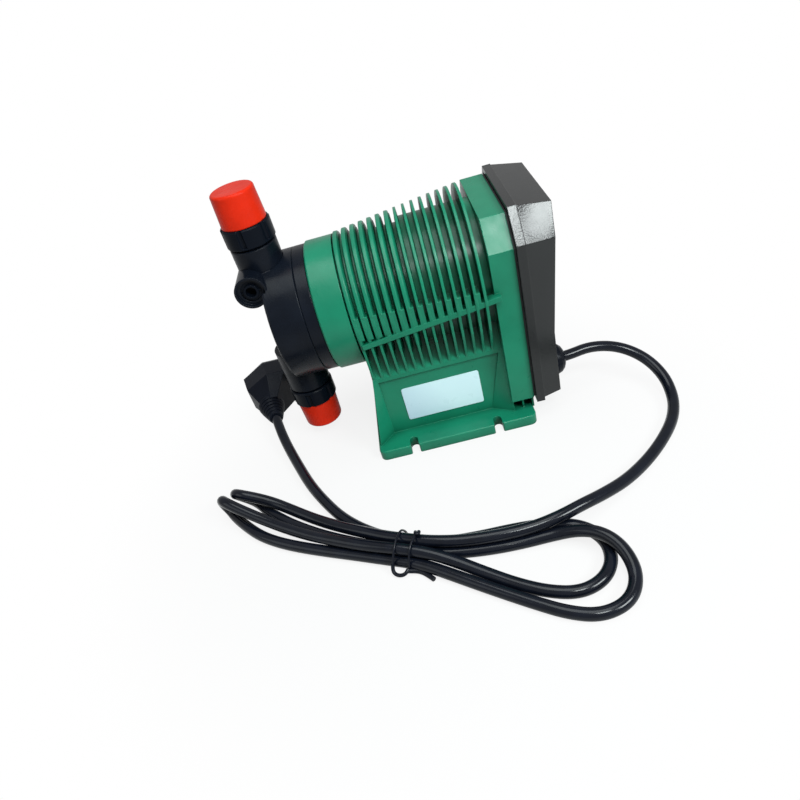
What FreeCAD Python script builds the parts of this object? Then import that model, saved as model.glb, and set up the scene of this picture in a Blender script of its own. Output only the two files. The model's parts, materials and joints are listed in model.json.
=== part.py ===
import FreeCAD, Part
import math
import os
from FreeCAD import Vector

# Solenoid-driven diaphragm metering pump, in millimetres. +X runs from the pump head to the rear
# cover, +Z is up, and the origin is the middle of the four foot slots on the underside of the foot.

# Foot and pedestal
foot_length = 106.0
foot_width = 109.0
foot_thickness = 7.2
foot_shift = 0.7
foot_corner_radius = 4.5
slot_spacing = 56.7
slot_width = 5.5
slot_reach = 8.6
slot_mouth_radius = 1.2
pedestal_front_x = -43.5
pedestal_toe = 7.4
pedestal_half_width = 36.6
pedestal_lip = 1.9
lip_height = 51.0
lip_band = 3.0
skirt_top_height = 78.0
skirt_top_half_width = 31.0
pedestal_cavity_wall = 3.6
pedestal_cavity_height = 45.0
gusset_flare = 11.4
gusset_depth = 3.0
rear_gusset_depth = 14.0

# Barrel of the housing
axis_height = 93.9
ring_radius = 41.3
ring_length = 17.4
front_core_radius = 38.0
rear_core_radius = 41.0
bulkhead_thickness = 5.6
barrel_bore_radius = 31.0
fin_count = 15
wide_fin_count = 7
fin_pitch = 5.5
first_fin_radius = 42.3
fin_growth = 0.6
wide_fin_tip = 2.5
wide_fin_root = 4.4
thin_fin_tip = 1.6
thin_fin_root = 2.6
fin_shoulder_drop = 1.5
plate_thickness = 1.5
plate_shoulder_height = 74.0
block_top_height = 101.0
block_bottom_height = 85.6
block_width = 2.0
rib_thickness = 3.4
rib_front_height = 81.2
rib_rear_height = 94.2
rib_proud = 0.4
last_fin_gap = 5.7

# Collar at the rear of the housing
collar_front_x = 40.4
collar_length = 14.3
collar_half_width = 46.6
collar_top = 136.4
collar_bottom = 15.6
collar_chamfer_y = 13.2
collar_chamfer_z = 16.3
collar_wall = 3.2
collar_rib_count = 3
collar_rib_thickness = 1.2
spine_inset = 3.0
screw_post_radius = 5.0
screw_post_y = 37.0
upper_post_z = 113.0
lower_post_z = 46.0
cover_screw_radius = 2.0
cover_screw_cap_radius = 3.6
cover_screw_cap_length = 3.2
cover_screw_sink = 6.5
cover_screw_bite = 9.0

# Rear cover
gasket_thickness = 1.2
gasket_inset = 1.2
cover_flange_length = 5.2
cover_half_width = 49.7
cover_top = 140.0
cover_bottom = 13.6
cover_chamfer_y = 13.5
cover_chamfer_z = 17.6
cover_step = 0.5
cover_depth = 19.4
cover_kink_drop = 8.0
cover_kink_height = 60.0
cover_end_half_width = 43.1
cover_end_top = 136.1
cover_end_chamfer_y = 9.0
cover_end_chamfer_z = 17.0
cover_bottom_step = 2.3
cover_wall = 2.6

# Control panel on the rear cover
panel_depth = 7.4
panel_half_width = 28.0
panel_bottom = 69.0
panel_top = 122.0
plate_gap = 0.2
dial_plate_thickness = 0.8
knob_height = 93.0
knob_radius = 12.0
knob_length = 7.0
knob_skirt_radius = 14.0
knob_skirt_length = 2.0
knob_shaft_radius = 3.0
lens_radius = 2.5
lens_y = -20.0
lens_z = 114.0
switch_y = 14.0
switch_z = 37.0
switch_width = 15.0
switch_height = 21.0
switch_depth = 12.0
switch_bezel = 1.6
rocker_gap = 0.35
rocker_pivot_depth = 4.0
rocker_rise = 7.0
rocker_swing = 14.0
running_gap = 0.3
play = 0.1

# Cable gland
gland_y = -27.0
gland_z = 27.2
gland_radius = 10.2
gland_length = 8.2
gland_thread_radius = 6.2
gland_nut_radius = 9.0
gland_nut_length = 3.4

# Pump head
clamp_ring_length = 7.9
head_length = 21.2
head_radius = 40.1
head_edge = 1.6
valve_setback = 1.5
tower_radius = 14.5
tower_inner = 22.0
tower_outer = 38.0
counterbore_radius = 9.6
counterbore_depth = 12.0
thread_skirt_radius = 11.6
thread_skirt_depth = 4.0
passage_radius = 3.0
chamber_radius = 23.0
chamber_depth = 2.1
head_screw_circle = 34.5
head_screw_angle = 30.0
head_screw_radius = 2.5
head_screw_cap_radius = 4.25
head_screw_cap_length = 5.0
head_screw_grip = 12.0

# Diaphragm
diaphragm_rim_radius = 28.0
diaphragm_rim_width = 4.0
diaphragm_rim_thickness = 2.9
diaphragm_web = 1.5
diaphragm_hub_radius = 10.0
backing_radius = 16.0
backing_thickness = 2.4
ring_opening_radius = 23.0

# Check valves
seat_height = 4.0
seat_bore_radius = 3.2
ball_radius = 4.76
ball_lift = 1.5
cage_bore_radius = 5.2
valve_body_length = 14.0
neck_radius = 12.2
neck_length = 8.4
nut_radius = 15.1
nut_length = 12.0
nut_gap = 1.0
nut_groove_count = 6
nut_collar_radius = 12.2
nut_collar_length = 7.0
nut_web = 2.6
spigot_flange_radius = 11.0
spigot_radius = 5.6
spigot_length = 16.0
spigot_bore_radius = 3.1
cap_rim_radius = 13.85
cap_top_radius = 13.05
cap_length = 19.3
cap_wall = 1.25
cap_edge = 1.6
seal_section = 0.9
seal_groove_radius = 13.0
spigot_seal_radius = 7.4

# Bleed valve on the discharge side
bleed_forward = 6.8
bleed_rise = 32.1
bleed_boss_radius = 9.8
bleed_boss_reach = 25.0
bleed_screw_radius = 6.3
bleed_screw_length = 7.6
bleed_screw_relief = 1.5
bleed_bore_depth = 4.0
bleed_recess = 3.0
bleed_bore_radius = 3.2
bleed_mouth_radius = 8.4
bleed_mouth_depth = 2.4
bleed_stem_radius = 4.5
bleed_stem_rise = 1.7
bleed_web = 1.0

# Solenoid and plunger
rod_radius = 4.0
bush_radius = 7.0
bush_length = 10.0
bush_inset = 1.0
bush_fit = 0.05
pole_flange = 5.0
yoke_radius = 30.6
yoke_wall = 3.0
end_plate_thickness = 5.0
lead_window_length = 8.0
lead_window_width = 10.0
lead_window_inset = 4.0
pole_radius = 14.0
pole_length = 10.0
armature_radius = 14.4
armature_length = 30.0
stroke = 1.25
stroke_spare = 0.15
spring_pocket_radius = 8.0
spring_pocket_depth = 5.0
spring_radius = 6.4
spring_wire_radius = 0.7
spring_turns = 6
bobbin_bore_radius = 14.8
bobbin_wall = 1.6
bobbin_flange = 2.0
coil_radius = 25.5
bumper_thickness = 3.0
solenoid_screw_circle = 19.0
solenoid_screw_count = 3
solenoid_screw_radius = 1.5
solenoid_screw_cap_radius = 2.7
solenoid_screw_cap_length = 2.2
solenoid_screw_length = 9.0

# Electronics
board_thickness = 1.6
board_x = 50.4
board_half_width = 31.0
board_bottom = 31.0
board_top = 127.0
board_margin = 3.5
terminal_length = 24.0
terminal_height = 11.0
terminal_depth = 9.0
terminal_z = 44.0
capacitor_radius = 5.0
capacitor_length = 13.0
capacitor_y = 19.0
capacitor_z = 64.0
capacitor_pitch = 12.0
small_capacitor_radius = 4.0
small_capacitor_length = 10.0
board_screw_length = 5.0
board_screw_cap_radius = 2.4
board_screw_cap_length = 1.6
pot_radius = 8.0
pot_length = 8.0
standoff_radius = 3.4
standoff_hole_radius = 1.3

# Name plate, left bare
name_plate_length = 51.2
name_plate_height = 25.6
name_plate_thickness = 0.5
name_plate_corner = 1.4
name_plate_x = -2.4
name_plate_z = 28.0

# Power cord
cord_radius = 3.5
cord_lie = 3.6
hank_height = 14.6
tie_thickness = 1.4
tie_width = 6.0
tie_x = -43.5
tie_y = -138.0
tie_half_width = 11.4
tie_tail_length = 13.0
hank_half_width = 30.0
tie_angle = 158.0
tie_waist = 1.6

# Plug
plug_tip_x = -126.0
plug_tip_y = 6.0
plug_tip_z = 13.0
plug_heading = 105.6
relief_length = 18.0
relief_tip_radius = 4.9
relief_root_radius = 9.8
relief_rib_count = 5
plug_length = 42.0
plug_shoulder = 19.0
plug_rim = 13.5
plug_back = 18.5
plug_height = 31.0
plug_back_height = 17.0
pin_length = 17.0
pin_width = 6.3
pin_thickness = 1.6
pin_offset = 7.9

# Worked out from the sizes above
first_fin_x = collar_front_x - last_fin_gap - fin_pitch * (fin_count - 1)
ring_rear_x = first_fin_x - fin_pitch / 2
ring_front_x = ring_rear_x - ring_length
head_rear_x = ring_front_x - clamp_ring_length
head_front_x = head_rear_x - head_length
valve_x = head_front_x + valve_setback
collar_rear_x = collar_front_x + collar_length
cover_front_x = collar_rear_x + gasket_thickness
cover_body_x = cover_front_x + cover_flange_length
cover_rear_x = cover_body_x + cover_depth
cover_kink_x = cover_rear_x - cover_kink_drop
foot_front_x = foot_shift - foot_length / 2
foot_rear_x = foot_shift + foot_length / 2
panel_floor_x = cover_rear_x - panel_depth
bulkhead_x = ring_front_x + bulkhead_thickness
pole_face_x = bulkhead_x + pole_flange + pole_length
armature_front_x = pole_face_x + stroke + stroke_spare
armature_rear_x = armature_front_x + armature_length
end_plate_x = armature_rear_x + running_gap + bumper_thickness
yoke_rear_x = end_plate_x + end_plate_thickness
bleed_x = valve_x - bleed_forward
bleed_height = axis_height + bleed_rise


def fin_radius(index):
    return first_fin_radius + fin_growth * index


def fin_x(index):
    return first_fin_x + fin_pitch * index


def box(x0, x1, y0, y1, z0, z1):
    return Part.makeBox(x1 - x0, y1 - y0, z1 - z0, Vector(x0, y0, z0))


def rod_x(radius, x0, x1, y=0.0, z=axis_height):
    return Part.makeCylinder(radius, x1 - x0, Vector(x0, y, z), Vector(1, 0, 0))


def rod_y(radius, y0, y1, x, z):
    return Part.makeCylinder(radius, y1 - y0, Vector(x, y0, z), Vector(0, 1, 0))


def rod_z(radius, z0, z1, x, y=0.0):
    return Part.makeCylinder(radius, z1 - z0, Vector(x, y, z0), Vector(0, 0, 1))


def face_of(points):
    return Part.Face(Part.makePolygon(points + points[:1]))


def prism_x(outline, x0, x1):
    """A solid between two planes across X, from a (y, z) outline."""
    points = [Vector(x0, y, z) for y, z in outline]
    return face_of(points).extrude(Vector(x1 - x0, 0, 0))


def turned_x(profile, y=0.0, z=axis_height):
    """A solid turned about a line along X, from an (x, radius) outline."""
    points = [Vector(x, y, z + radius) for x, radius in profile]
    return face_of(points).revolve(Vector(0, y, z), Vector(1, 0, 0), 360)


def turned_z(profile, x, y=0.0):
    """A solid turned about a vertical line, from a (radius, z) outline."""
    points = [Vector(x + radius, y, z) for radius, z in profile]
    return face_of(points).revolve(Vector(x, y, 0), Vector(0, 0, 1), 360)


def loft(sections):
    """A straight-sided solid through closed outlines, each a list of points."""
    wires = [Part.makePolygon(points + points[:1]) for points in sections]
    return Part.makeLoft(wires, True, True)


def mirrored(shape):
    """The same solid on the suction side, below the pump axis."""
    return shape.mirror(Vector(0, 0, axis_height), Vector(0, 0, 1))


def joined(shapes):
    return shapes[0].multiFuse(shapes[1:]).removeSplitter()


def save(name, shape):
    shape.exportStep("parts/" + name + ".step")
    print(name, len(shape.Solids), round(shape.Volume), shape.isValid())


def octagon(half_width, bottom, top, chamfer_y, chamfer_z):
    """Outline of the collar and the cover: square below, with two chamfered corners above."""
    return [
        (-half_width, bottom),
        (half_width, bottom),
        (half_width, top - chamfer_z),
        (half_width - chamfer_y, top),
        (-half_width + chamfer_y, top),
        (-half_width, top - chamfer_z),
    ]


def screw_places():
    """Where the four cover screws run, as (y, z)."""
    return [(side * screw_post_y, z) for side in (-1, 1) for z in (lower_post_z, upper_post_z)]


def head_screw_places():
    """Where the four head screws run, as (y, z)."""
    angle = math.radians(head_screw_angle)
    across, up = head_screw_circle * math.cos(angle), head_screw_circle * math.sin(angle)
    return [(side * across, axis_height + level * up) for side in (-1, 1) for level in (-1, 1)]


def solenoid_screw_places():
    """Where the screws that hold the solenoid run, as (y, z)."""
    places = []
    for index in range(solenoid_screw_count):
        angle = 2 * math.pi * index / solenoid_screw_count
        across, up = solenoid_screw_circle * math.cos(angle), solenoid_screw_circle * math.sin(angle)
        places.append((across, axis_height + up))
    return places


def board_screw_places():
    """Where the circuit board is screwed down, as (y, z)."""
    reach = board_half_width - board_margin
    levels = (board_bottom + 2 * board_margin, board_top - 2 * board_margin)
    return [(side * reach, z) for side in (-1, 1) for z in levels]


# Housing

def wide_fin(index):
    x, radius = fin_x(index), fin_radius(index)
    outline = [
        (x - wide_fin_root / 2, 0),
        (x - wide_fin_root / 2, front_core_radius),
        (x - wide_fin_tip / 2, radius),
        (x + wide_fin_tip / 4, radius),
        (x + wide_fin_tip / 2, radius - fin_shoulder_drop / 3),
        (x + wide_fin_tip / 2, radius - fin_shoulder_drop),
        (x + wide_fin_root / 2 - 0.3, radius - fin_shoulder_drop * 1.4),
        (x + wide_fin_root / 2, front_core_radius),
        (x + wide_fin_root / 2, 0),
    ]
    return turned_x(outline)


def thin_fin(index):
    x, radius = fin_x(index), fin_radius(index)
    sunk = rear_core_radius - thin_fin_root / 2
    outline = [
        (x - thin_fin_root / 2, 0),
        (x - thin_fin_root / 2, sunk),
        (x - thin_fin_tip / 2, radius),
        (x + thin_fin_tip / 2, radius),
        (x + thin_fin_root / 2, sunk),
        (x + thin_fin_root / 2, 0),
    ]
    return turned_x(outline)


def fin_plate(index):
    """The flat web that carries a fin down into the pedestal."""
    x, radius = fin_x(index), fin_radius(index)
    half = pedestal_half_width + pedestal_lip
    right = [
        (radius, axis_height),
        (radius - (radius - half) * 0.25, plate_shoulder_height),
        (half + 0.6, lip_height + lip_band + 3.0),
        (half, lip_height + lip_band),
        (half - pedestal_lip, lip_height),
    ]
    left = [(-y, z) for y, z in reversed(right)]
    return prism_x(right + left, x - plate_thickness / 2, x + plate_thickness / 2)


def fin_block(index):
    """The pad that half fills the valley behind a fin, on both sides."""
    x, radius = fin_x(index), fin_radius(index)
    reach = radius - 0.3
    core = barrel_bore_radius + 2
    bottom = max(block_bottom_height, rib_height_at(x) - rib_thickness / 2)
    sides = []
    for side in (-1, 1):
        y0, y1 = sorted((side * core, side * reach))
        sides.append(box(x, x + thin_fin_tip / 2 + block_width, y0, y1, bottom, block_top_height))
    return sides


def rib_height_at(x):
    share = (x - first_fin_x) / (collar_front_x - first_fin_x)
    return rib_front_height + (rib_rear_height - rib_front_height) * share


def side_rib():
    """The sloping rib across the webs, on both sides of the barrel."""
    ribs = []
    first, last = fin_x(0), collar_front_x + collar_wall
    front_reach = fin_radius(0) + rib_proud
    rear_reach = fin_radius(fin_count - 1) + rib_proud
    for side in (-1, 1):
        sections = []
        for x, reach in ((first, front_reach), (last, rear_reach)):
            z = rib_height_at(x)
            inner = reach - 6.0
            corners = [(inner, z - rib_thickness / 2), (reach, z - rib_thickness / 2)]
            corners += [(reach, z + rib_thickness / 2), (inner, z + rib_thickness / 2)]
            sections.append([Vector(x, side * y, height) for y, height in corners])
        ribs.append(loft(sections))
    return ribs


def pedestal():
    half = pedestal_half_width
    lip = half + pedestal_lip
    right = [
        (half, 0.0),
        (half, lip_height),
        (lip, lip_height),
        (lip, lip_height + lip_band),
        (skirt_top_half_width, skirt_top_height),
    ]
    left = [(-y, z) for y, z in reversed(right)]
    return prism_x(right + left, pedestal_front_x, collar_front_x + collar_wall)


def gusset(outer_x, direction, toe, low_depth, flare):
    """An end wall of the pedestal, which widens down to the foot."""
    top, base = lip_height + lip_band, foot_thickness - 1
    half = pedestal_half_width
    lip = half + pedestal_lip
    low_outer = outer_x - direction * toe
    low_inner = outer_x + direction * low_depth
    high_inner = outer_x + direction * gusset_depth
    low = [(low_outer, -half - flare), (low_outer, half + flare)]
    low += [(low_inner, half), (low_inner, -half)]
    high = [(outer_x, -lip - rib_proud), (outer_x, lip + rib_proud)]
    high += [(high_inner, lip), (high_inner, -lip)]
    return loft([
        [Vector(x, y, base) for x, y in low],
        [Vector(x, y, top) for x, y in high],
    ])


def foot():
    half = foot_width / 2
    slab = box(foot_front_x, foot_rear_x, -half, half, 0, foot_thickness)
    corners = [edge for edge in slab.Edges if edge.BoundBox.ZLength > foot_thickness / 2]
    slab = slab.makeFillet(foot_corner_radius, corners)
    tops = [
        edge for edge in slab.Edges
        if edge.BoundBox.ZMin > foot_thickness - 0.01 and edge.BoundBox.ZLength < 0.01
    ]
    slab = slab.makeFillet(1.0, tops)
    cuts = []
    for x in (-slot_spacing / 2, slot_spacing / 2):
        for side in (-1, 1):
            end = side * (half - slot_reach + slot_width / 2)
            mouth = side * (half + 1)
            y0, y1 = sorted((end, mouth))
            cuts.append(box(x - slot_width / 2, x + slot_width / 2, y0, y1, -1, foot_thickness + 1))
            cuts.append(rod_z(slot_width / 2, -1, foot_thickness + 1, x, end))
            for edge_side in (-1, 1):
                cuts.append(slot_mouth(x + edge_side * slot_width / 2, edge_side, side * half, side))
    return slab.cut(cuts)


def slot_mouth(x, outward, y, side):
    """The round-over of a slot's corner at the edge of the foot."""
    r = slot_mouth_radius
    x0, x1 = sorted((x - outward, x + outward * r))
    y0, y1 = sorted((y - side * r, y + side))
    corner = box(x0, x1, y0, y1, -1, foot_thickness + 1)
    return corner.cut(rod_z(r, -2, foot_thickness + 2, x + outward * r, y - side * r))


def collar():
    outline = octagon(collar_half_width, collar_bottom, collar_top, collar_chamfer_y, collar_chamfer_z)
    shell = prism_x(outline, collar_front_x, collar_rear_x)
    ribs = []
    for index in range(collar_rib_count):
        spread = (collar_length - collar_rib_thickness) / (collar_rib_count - 1)
        x = collar_front_x + spread * index
        ribs.append(box(x, x + collar_rib_thickness, -collar_half_width + 3, collar_half_width - 3,
                        foot_thickness - 1, collar_bottom + 1))
    spine_half = pedestal_half_width - 6
    spine = box(collar_front_x - 2, collar_rear_x - spine_inset, -spine_half, spine_half,
                foot_thickness - 1, collar_bottom + 1)
    return [shell, spine] + ribs


def main_housing():
    ring = turned_x([
        (ring_front_x, 0),
        (ring_front_x, ring_radius - 0.8),
        (ring_front_x + 0.8, ring_radius),
        (ring_rear_x + 0.2, ring_radius),
        (ring_rear_x + 0.2, 0),
    ])
    step_x = fin_x(wide_fin_count) - thin_fin_root / 2
    front_core = rod_x(front_core_radius, ring_rear_x, step_x)
    rear_core = rod_x(rear_core_radius, step_x, collar_front_x + collar_wall)
    shapes = [ring, front_core, rear_core, pedestal(), foot()] + collar() + side_rib()
    shapes.append(gusset(pedestal_front_x, 1, pedestal_toe, gusset_depth, gusset_flare))
    rear_flare = collar_half_width - pedestal_half_width - 1
    shapes.append(gusset(collar_front_x + 1, -1, 0, rear_gusset_depth, rear_flare))
    for index in range(fin_count):
        shapes.append(wide_fin(index) if index < wide_fin_count else thin_fin(index))
        shapes.append(fin_plate(index))
        if index < fin_count - 1:
            shapes += fin_block(index)
    body = shapes[0].multiFuse(shapes[1:])

    inner = octagon(
        collar_half_width - collar_wall, collar_bottom + collar_wall, collar_top - collar_wall,
        collar_chamfer_y - collar_wall * 0.4, collar_chamfer_z - collar_wall * 0.4,
    )
    cavity = prism_x(inner, collar_front_x + collar_wall, collar_rear_x + 1)
    posts = [
        rod_x(screw_post_radius, collar_front_x + 1, collar_rear_x, y, z) for y, z in screw_places()
    ]
    standoffs = [
        rod_x(standoff_radius, collar_front_x + 1, board_x, y, z) for y, z in board_screw_places()
    ]
    pedestal_cavity = box(
        pedestal_front_x + pedestal_cavity_wall, collar_front_x - pedestal_cavity_wall,
        -pedestal_half_width + pedestal_cavity_wall, pedestal_half_width - pedestal_cavity_wall,
        -1, pedestal_cavity_height,
    )
    body = body.cut([cavity]).fuse(posts + standoffs)
    holes = [rod_x(barrel_bore_radius, bulkhead_x, collar_rear_x + 1), pedestal_cavity]
    holes.append(rod_x(bush_radius, ring_front_x - 1, bulkhead_x + 1))
    holes += [
        rod_x(head_screw_radius, ring_front_x - 1, ring_front_x + head_screw_grip, y, z)
        for y, z in head_screw_places()
    ]
    holes += [
        rod_x(cover_screw_radius, collar_rear_x - cover_screw_bite - 1, collar_rear_x + 1, y, z)
        for y, z in screw_places()
    ]
    holes += [
        rod_x(standoff_hole_radius, board_x - board_screw_length, board_x + 1, y, z)
        for y, z in board_screw_places()
    ]
    holes += [
        rod_x(solenoid_screw_radius + play, ring_front_x - 1, bulkhead_x + 1, y, z)
        for y, z in solenoid_screw_places()
    ]
    return body.cut(holes)


def name_plate():
    x, z = name_plate_x, name_plate_z
    plate = box(
        x - name_plate_length / 2, x + name_plate_length / 2,
        -pedestal_half_width - name_plate_thickness, -pedestal_half_width,
        z - name_plate_height / 2, z + name_plate_height / 2,
    )
    corners = [edge for edge in plate.Edges if edge.Length < 2 * name_plate_thickness]
    return plate.makeFillet(name_plate_corner, corners)


# Rear cover

def rear_face_x(z):
    """Where the rear face of the cover lies at a height: it leans in down to the kink."""
    if z <= cover_kink_height:
        return cover_kink_x
    share = (z - cover_kink_height) / (cover_end_top - cover_kink_height)
    return cover_kink_x + cover_kink_drop * share


def cover_form(inset):
    """The tapered body of the cover, made smaller all round by an inset."""
    step = cover_step + inset
    front = octagon(
        cover_half_width - step, cover_bottom + cover_bottom_step + inset, cover_top - step,
        cover_chamfer_y - step * 0.4, cover_chamfer_z - step * 0.4,
    )
    rear = octagon(
        cover_end_half_width - inset, cover_bottom + cover_bottom_step + inset, cover_end_top - inset,
        cover_end_chamfer_y - inset * 0.4, cover_end_chamfer_z - inset * 0.4,
    )
    start = cover_body_x
    form = loft([
        [Vector(start, y, z) for y, z in front],
        [Vector(cover_rear_x, y, z) for y, z in rear],
    ])
    reach = cover_half_width + 1
    outline = [
        (cover_kink_x - inset, 0),
        (cover_kink_x - inset, cover_kink_height),
        (rear_face_x(cover_end_top) - inset, cover_end_top),
        (rear_face_x(cover_end_top) - inset, cover_top + 1),
        (cover_rear_x + 1, cover_top + 1),
        (cover_rear_x + 1, 0),
    ]
    points = [Vector(x, -reach, z) for x, z in outline]
    return form.cut(face_of(points).extrude(Vector(0, 2 * reach, 0)))


def rear_cover():
    flange_outline = octagon(
        cover_half_width, cover_bottom, cover_top, cover_chamfer_y, cover_chamfer_z,
    )
    flange = prism_x(flange_outline, cover_front_x, cover_body_x)
    wall = cover_wall
    mouth = octagon(
        cover_half_width - cover_step - wall, cover_bottom + cover_bottom_step + wall,
        cover_top - cover_step - wall, cover_chamfer_y - wall * 0.5, cover_chamfer_z - wall * 0.5,
    )
    outer = cover_form(0)
    shell = joined([flange, outer])
    shell = shell.cut([cover_form(wall), prism_x(mouth, cover_front_x - 1, cover_body_x + 0.01)])
    pocket = box(
        panel_floor_x, cover_rear_x + 1, -panel_half_width, panel_half_width, panel_bottom, panel_top,
    )
    pocket_wall = box(
        panel_floor_x - wall, cover_rear_x + 1, -panel_half_width - wall, panel_half_width + wall,
        panel_bottom - wall, panel_top + wall,
    )
    posts = [rod_x(screw_post_radius, cover_front_x, cover_rear_x, y, z) for y, z in screw_places()]
    fillings = [part.common(outer) for part in [pocket_wall] + [
        post.common(joined([flange, outer])) for post in posts
    ]]
    front_posts = [rod_x(screw_post_radius, cover_front_x, cover_body_x + 1, y, z) for y, z in screw_places()]
    shell = shell.fuse(fillings + front_posts)
    cuts = [pocket]
    for y, z in screw_places():
        seat_x = rear_face_x(z) - cover_screw_sink
        cuts.append(rod_x(cover_screw_radius + play, cover_front_x - 1, seat_x + 1, y, z))
        cuts.append(rod_x(cover_screw_cap_radius + 2 * play, seat_x, cover_rear_x + 1, y, z))
    cuts.append(rod_x(knob_shaft_radius + 1, panel_floor_x - wall - 1, panel_floor_x + 1, 0, knob_height))
    cuts.append(rod_x(lens_radius + play, panel_floor_x - wall - 1, panel_floor_x + 1, lens_y, lens_z))
    gland_hole = rod_x(gland_thread_radius + play, cover_kink_x - wall - 1, cover_kink_x + 1, gland_y, gland_z)
    cuts.append(gland_hole)
    cuts.append(box(
        cover_kink_x - wall - 1, cover_kink_x + 1,
        switch_y - switch_width / 2 - play, switch_y + switch_width / 2 + play,
        switch_z - switch_height / 2 - play, switch_z + switch_height / 2 + play,
    ))
    return shell.cut(cuts).removeSplitter()


def cover_gasket():
    def ring_outline(inset):
        return octagon(
            collar_half_width - inset, collar_bottom + inset, collar_top - inset,
            collar_chamfer_y - inset * 0.4, collar_chamfer_z - inset * 0.4,
        )
    outer = prism_x(ring_outline(gasket_inset / 2), collar_rear_x, cover_front_x)
    inner = prism_x(ring_outline(collar_wall), collar_rear_x - 1, cover_front_x + 1)
    return outer.cut(inner)


def cover_screws():
    screws = []
    for y, z in screw_places():
        seat_x = rear_face_x(z) - cover_screw_sink
        shank = rod_x(cover_screw_radius, collar_rear_x - cover_screw_bite, seat_x, y, z)
        cap = rod_x(cover_screw_cap_radius, seat_x, seat_x + cover_screw_cap_length, y, z)
        slot_half = cover_screw_cap_radius * 0.62
        slots = [
            box(seat_x + cover_screw_cap_length - 1.4, seat_x + cover_screw_cap_length + 1,
                y - slot_half, y + slot_half, z - 0.5, z + 0.5),
            box(seat_x + cover_screw_cap_length - 1.4, seat_x + cover_screw_cap_length + 1,
                y - 0.5, y + 0.5, z - slot_half, z + slot_half),
        ]
        screws.append(joined([shank, cap]).cut(slots))
    return Part.makeCompound(screws)


# Control panel

def dial_plate():
    margin = plate_gap
    plate = box(
        panel_floor_x, panel_floor_x + dial_plate_thickness,
        -panel_half_width + margin, panel_half_width - margin, panel_bottom + margin, panel_top - margin,
    )
    holes = [
        rod_x(knob_shaft_radius + 1, panel_floor_x - 1, panel_floor_x + 2, 0, knob_height),
        rod_x(lens_radius + play, panel_floor_x - 1, panel_floor_x + 2, lens_y, lens_z),
    ]
    form = cover_form(0)
    return plate.cut(holes).common(form)


def indicator_lens():
    x0 = panel_floor_x - cover_wall - 1.0
    x1 = panel_floor_x + dial_plate_thickness
    profile = [
        (x0, 0), (x0, lens_radius + 1), (x0 + 1.0, lens_radius + 1), (x0 + 1.0, lens_radius),
        (x1 + 0.6, lens_radius), (x1 + 1.4, lens_radius * 0.6), (x1 + 1.7, 0),
    ]
    return turned_x(profile, lens_y, lens_z)


def rate_potentiometer():
    x0 = board_x + board_thickness
    body = rod_x(pot_radius, x0, x0 + pot_length, 0, knob_height)
    sleeve = rod_x(knob_shaft_radius + 2, x0 + pot_length - 1, x0 + pot_length + 4, 0, knob_height)
    bore = rod_x(knob_shaft_radius + bush_fit, x0 + 2, x0 + pot_length + 5, 0, knob_height)
    return joined([body, sleeve]).cut(bore)


def rate_shaft():
    x0 = board_x + board_thickness + 3
    return rod_x(knob_shaft_radius, x0, knob_front_x() + knob_length / 2, 0, knob_height)


def knob_front_x():
    """Where the knob's grip starts, behind its skirt."""
    return panel_floor_x + dial_plate_thickness + running_gap + knob_skirt_length


def rate_knob():
    x0 = knob_front_x() - knob_skirt_length
    x1 = knob_front_x()
    x2 = x1 + knob_length
    profile = [
        (x0, 0), (x0, knob_skirt_radius), (x1 - 0.5, knob_skirt_radius), (x1, knob_skirt_radius - 0.5),
        (x1, knob_radius), (x2 - 0.8, knob_radius - 0.4), (x2, knob_radius - 1.2), (x2, 0),
    ]
    knob = turned_x(profile, 0, knob_height)
    flute_count = 18
    flutes = []
    for index in range(flute_count):
        angle = 2 * math.pi * (index + 0.5) / flute_count
        reach = knob_radius + 0.5
        y, z = reach * math.cos(angle), knob_height + reach * math.sin(angle)
        flutes.append(rod_x(1.1, x1, x2 + 1, y, z))
    pointer = box(x2 - 0.6, x2 + 1, -0.6, 0.6, knob_height + 4, knob_height + knob_radius + 1)
    shaft_hole = rod_x(knob_shaft_radius, x0 - 1, x1 + knob_length / 2, 0, knob_height)
    return knob.cut(flutes + [pointer, shaft_hole])


def switch_frame():
    """The snap-in housing of the rocker switch."""
    face, half_y, half_z = cover_kink_x, switch_width / 2, switch_height / 2
    body = box(
        face - switch_depth, face, switch_y - half_y, switch_y + half_y, switch_z - half_z, switch_z + half_z,
    )
    edge = switch_bezel
    bezel = box(
        face, face + switch_bezel, switch_y - half_y - edge, switch_y + half_y + edge,
        switch_z - half_z - edge, switch_z + half_z + edge,
    )
    mouth_y, mouth_z = half_y - 2.2, half_z - 1.4
    mouth = box(
        face - 10, face + switch_bezel + 1, switch_y - mouth_y, switch_y + mouth_y,
        switch_z - mouth_z, switch_z + mouth_z,
    )
    return joined([body, bezel]).cut(mouth)


def power_rocker():
    """The rocker, tilted to its off side about its pivot."""
    pivot_x = cover_kink_x - rocker_pivot_depth
    half_y = switch_width / 2 - 2.2 - rocker_gap
    half_z = switch_height / 2 - 1.4 - 1.1
    outline = [
        (pivot_x - 3, -half_z + 3), (pivot_x + 1, -half_z), (pivot_x + rocker_rise, -half_z),
        (pivot_x + rocker_rise - 2.0, 0), (pivot_x + rocker_rise, half_z), (pivot_x + 1, half_z),
        (pivot_x - 3, half_z - 3),
    ]
    points = [Vector(x, switch_y - half_y, switch_z + z) for x, z in outline]
    rocker = face_of(points).extrude(Vector(0, 2 * half_y, 0))
    rocker.rotate(Vector(pivot_x, switch_y, switch_z), Vector(0, 1, 0), -rocker_swing / 2)
    return rocker


# Cable gland

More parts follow.
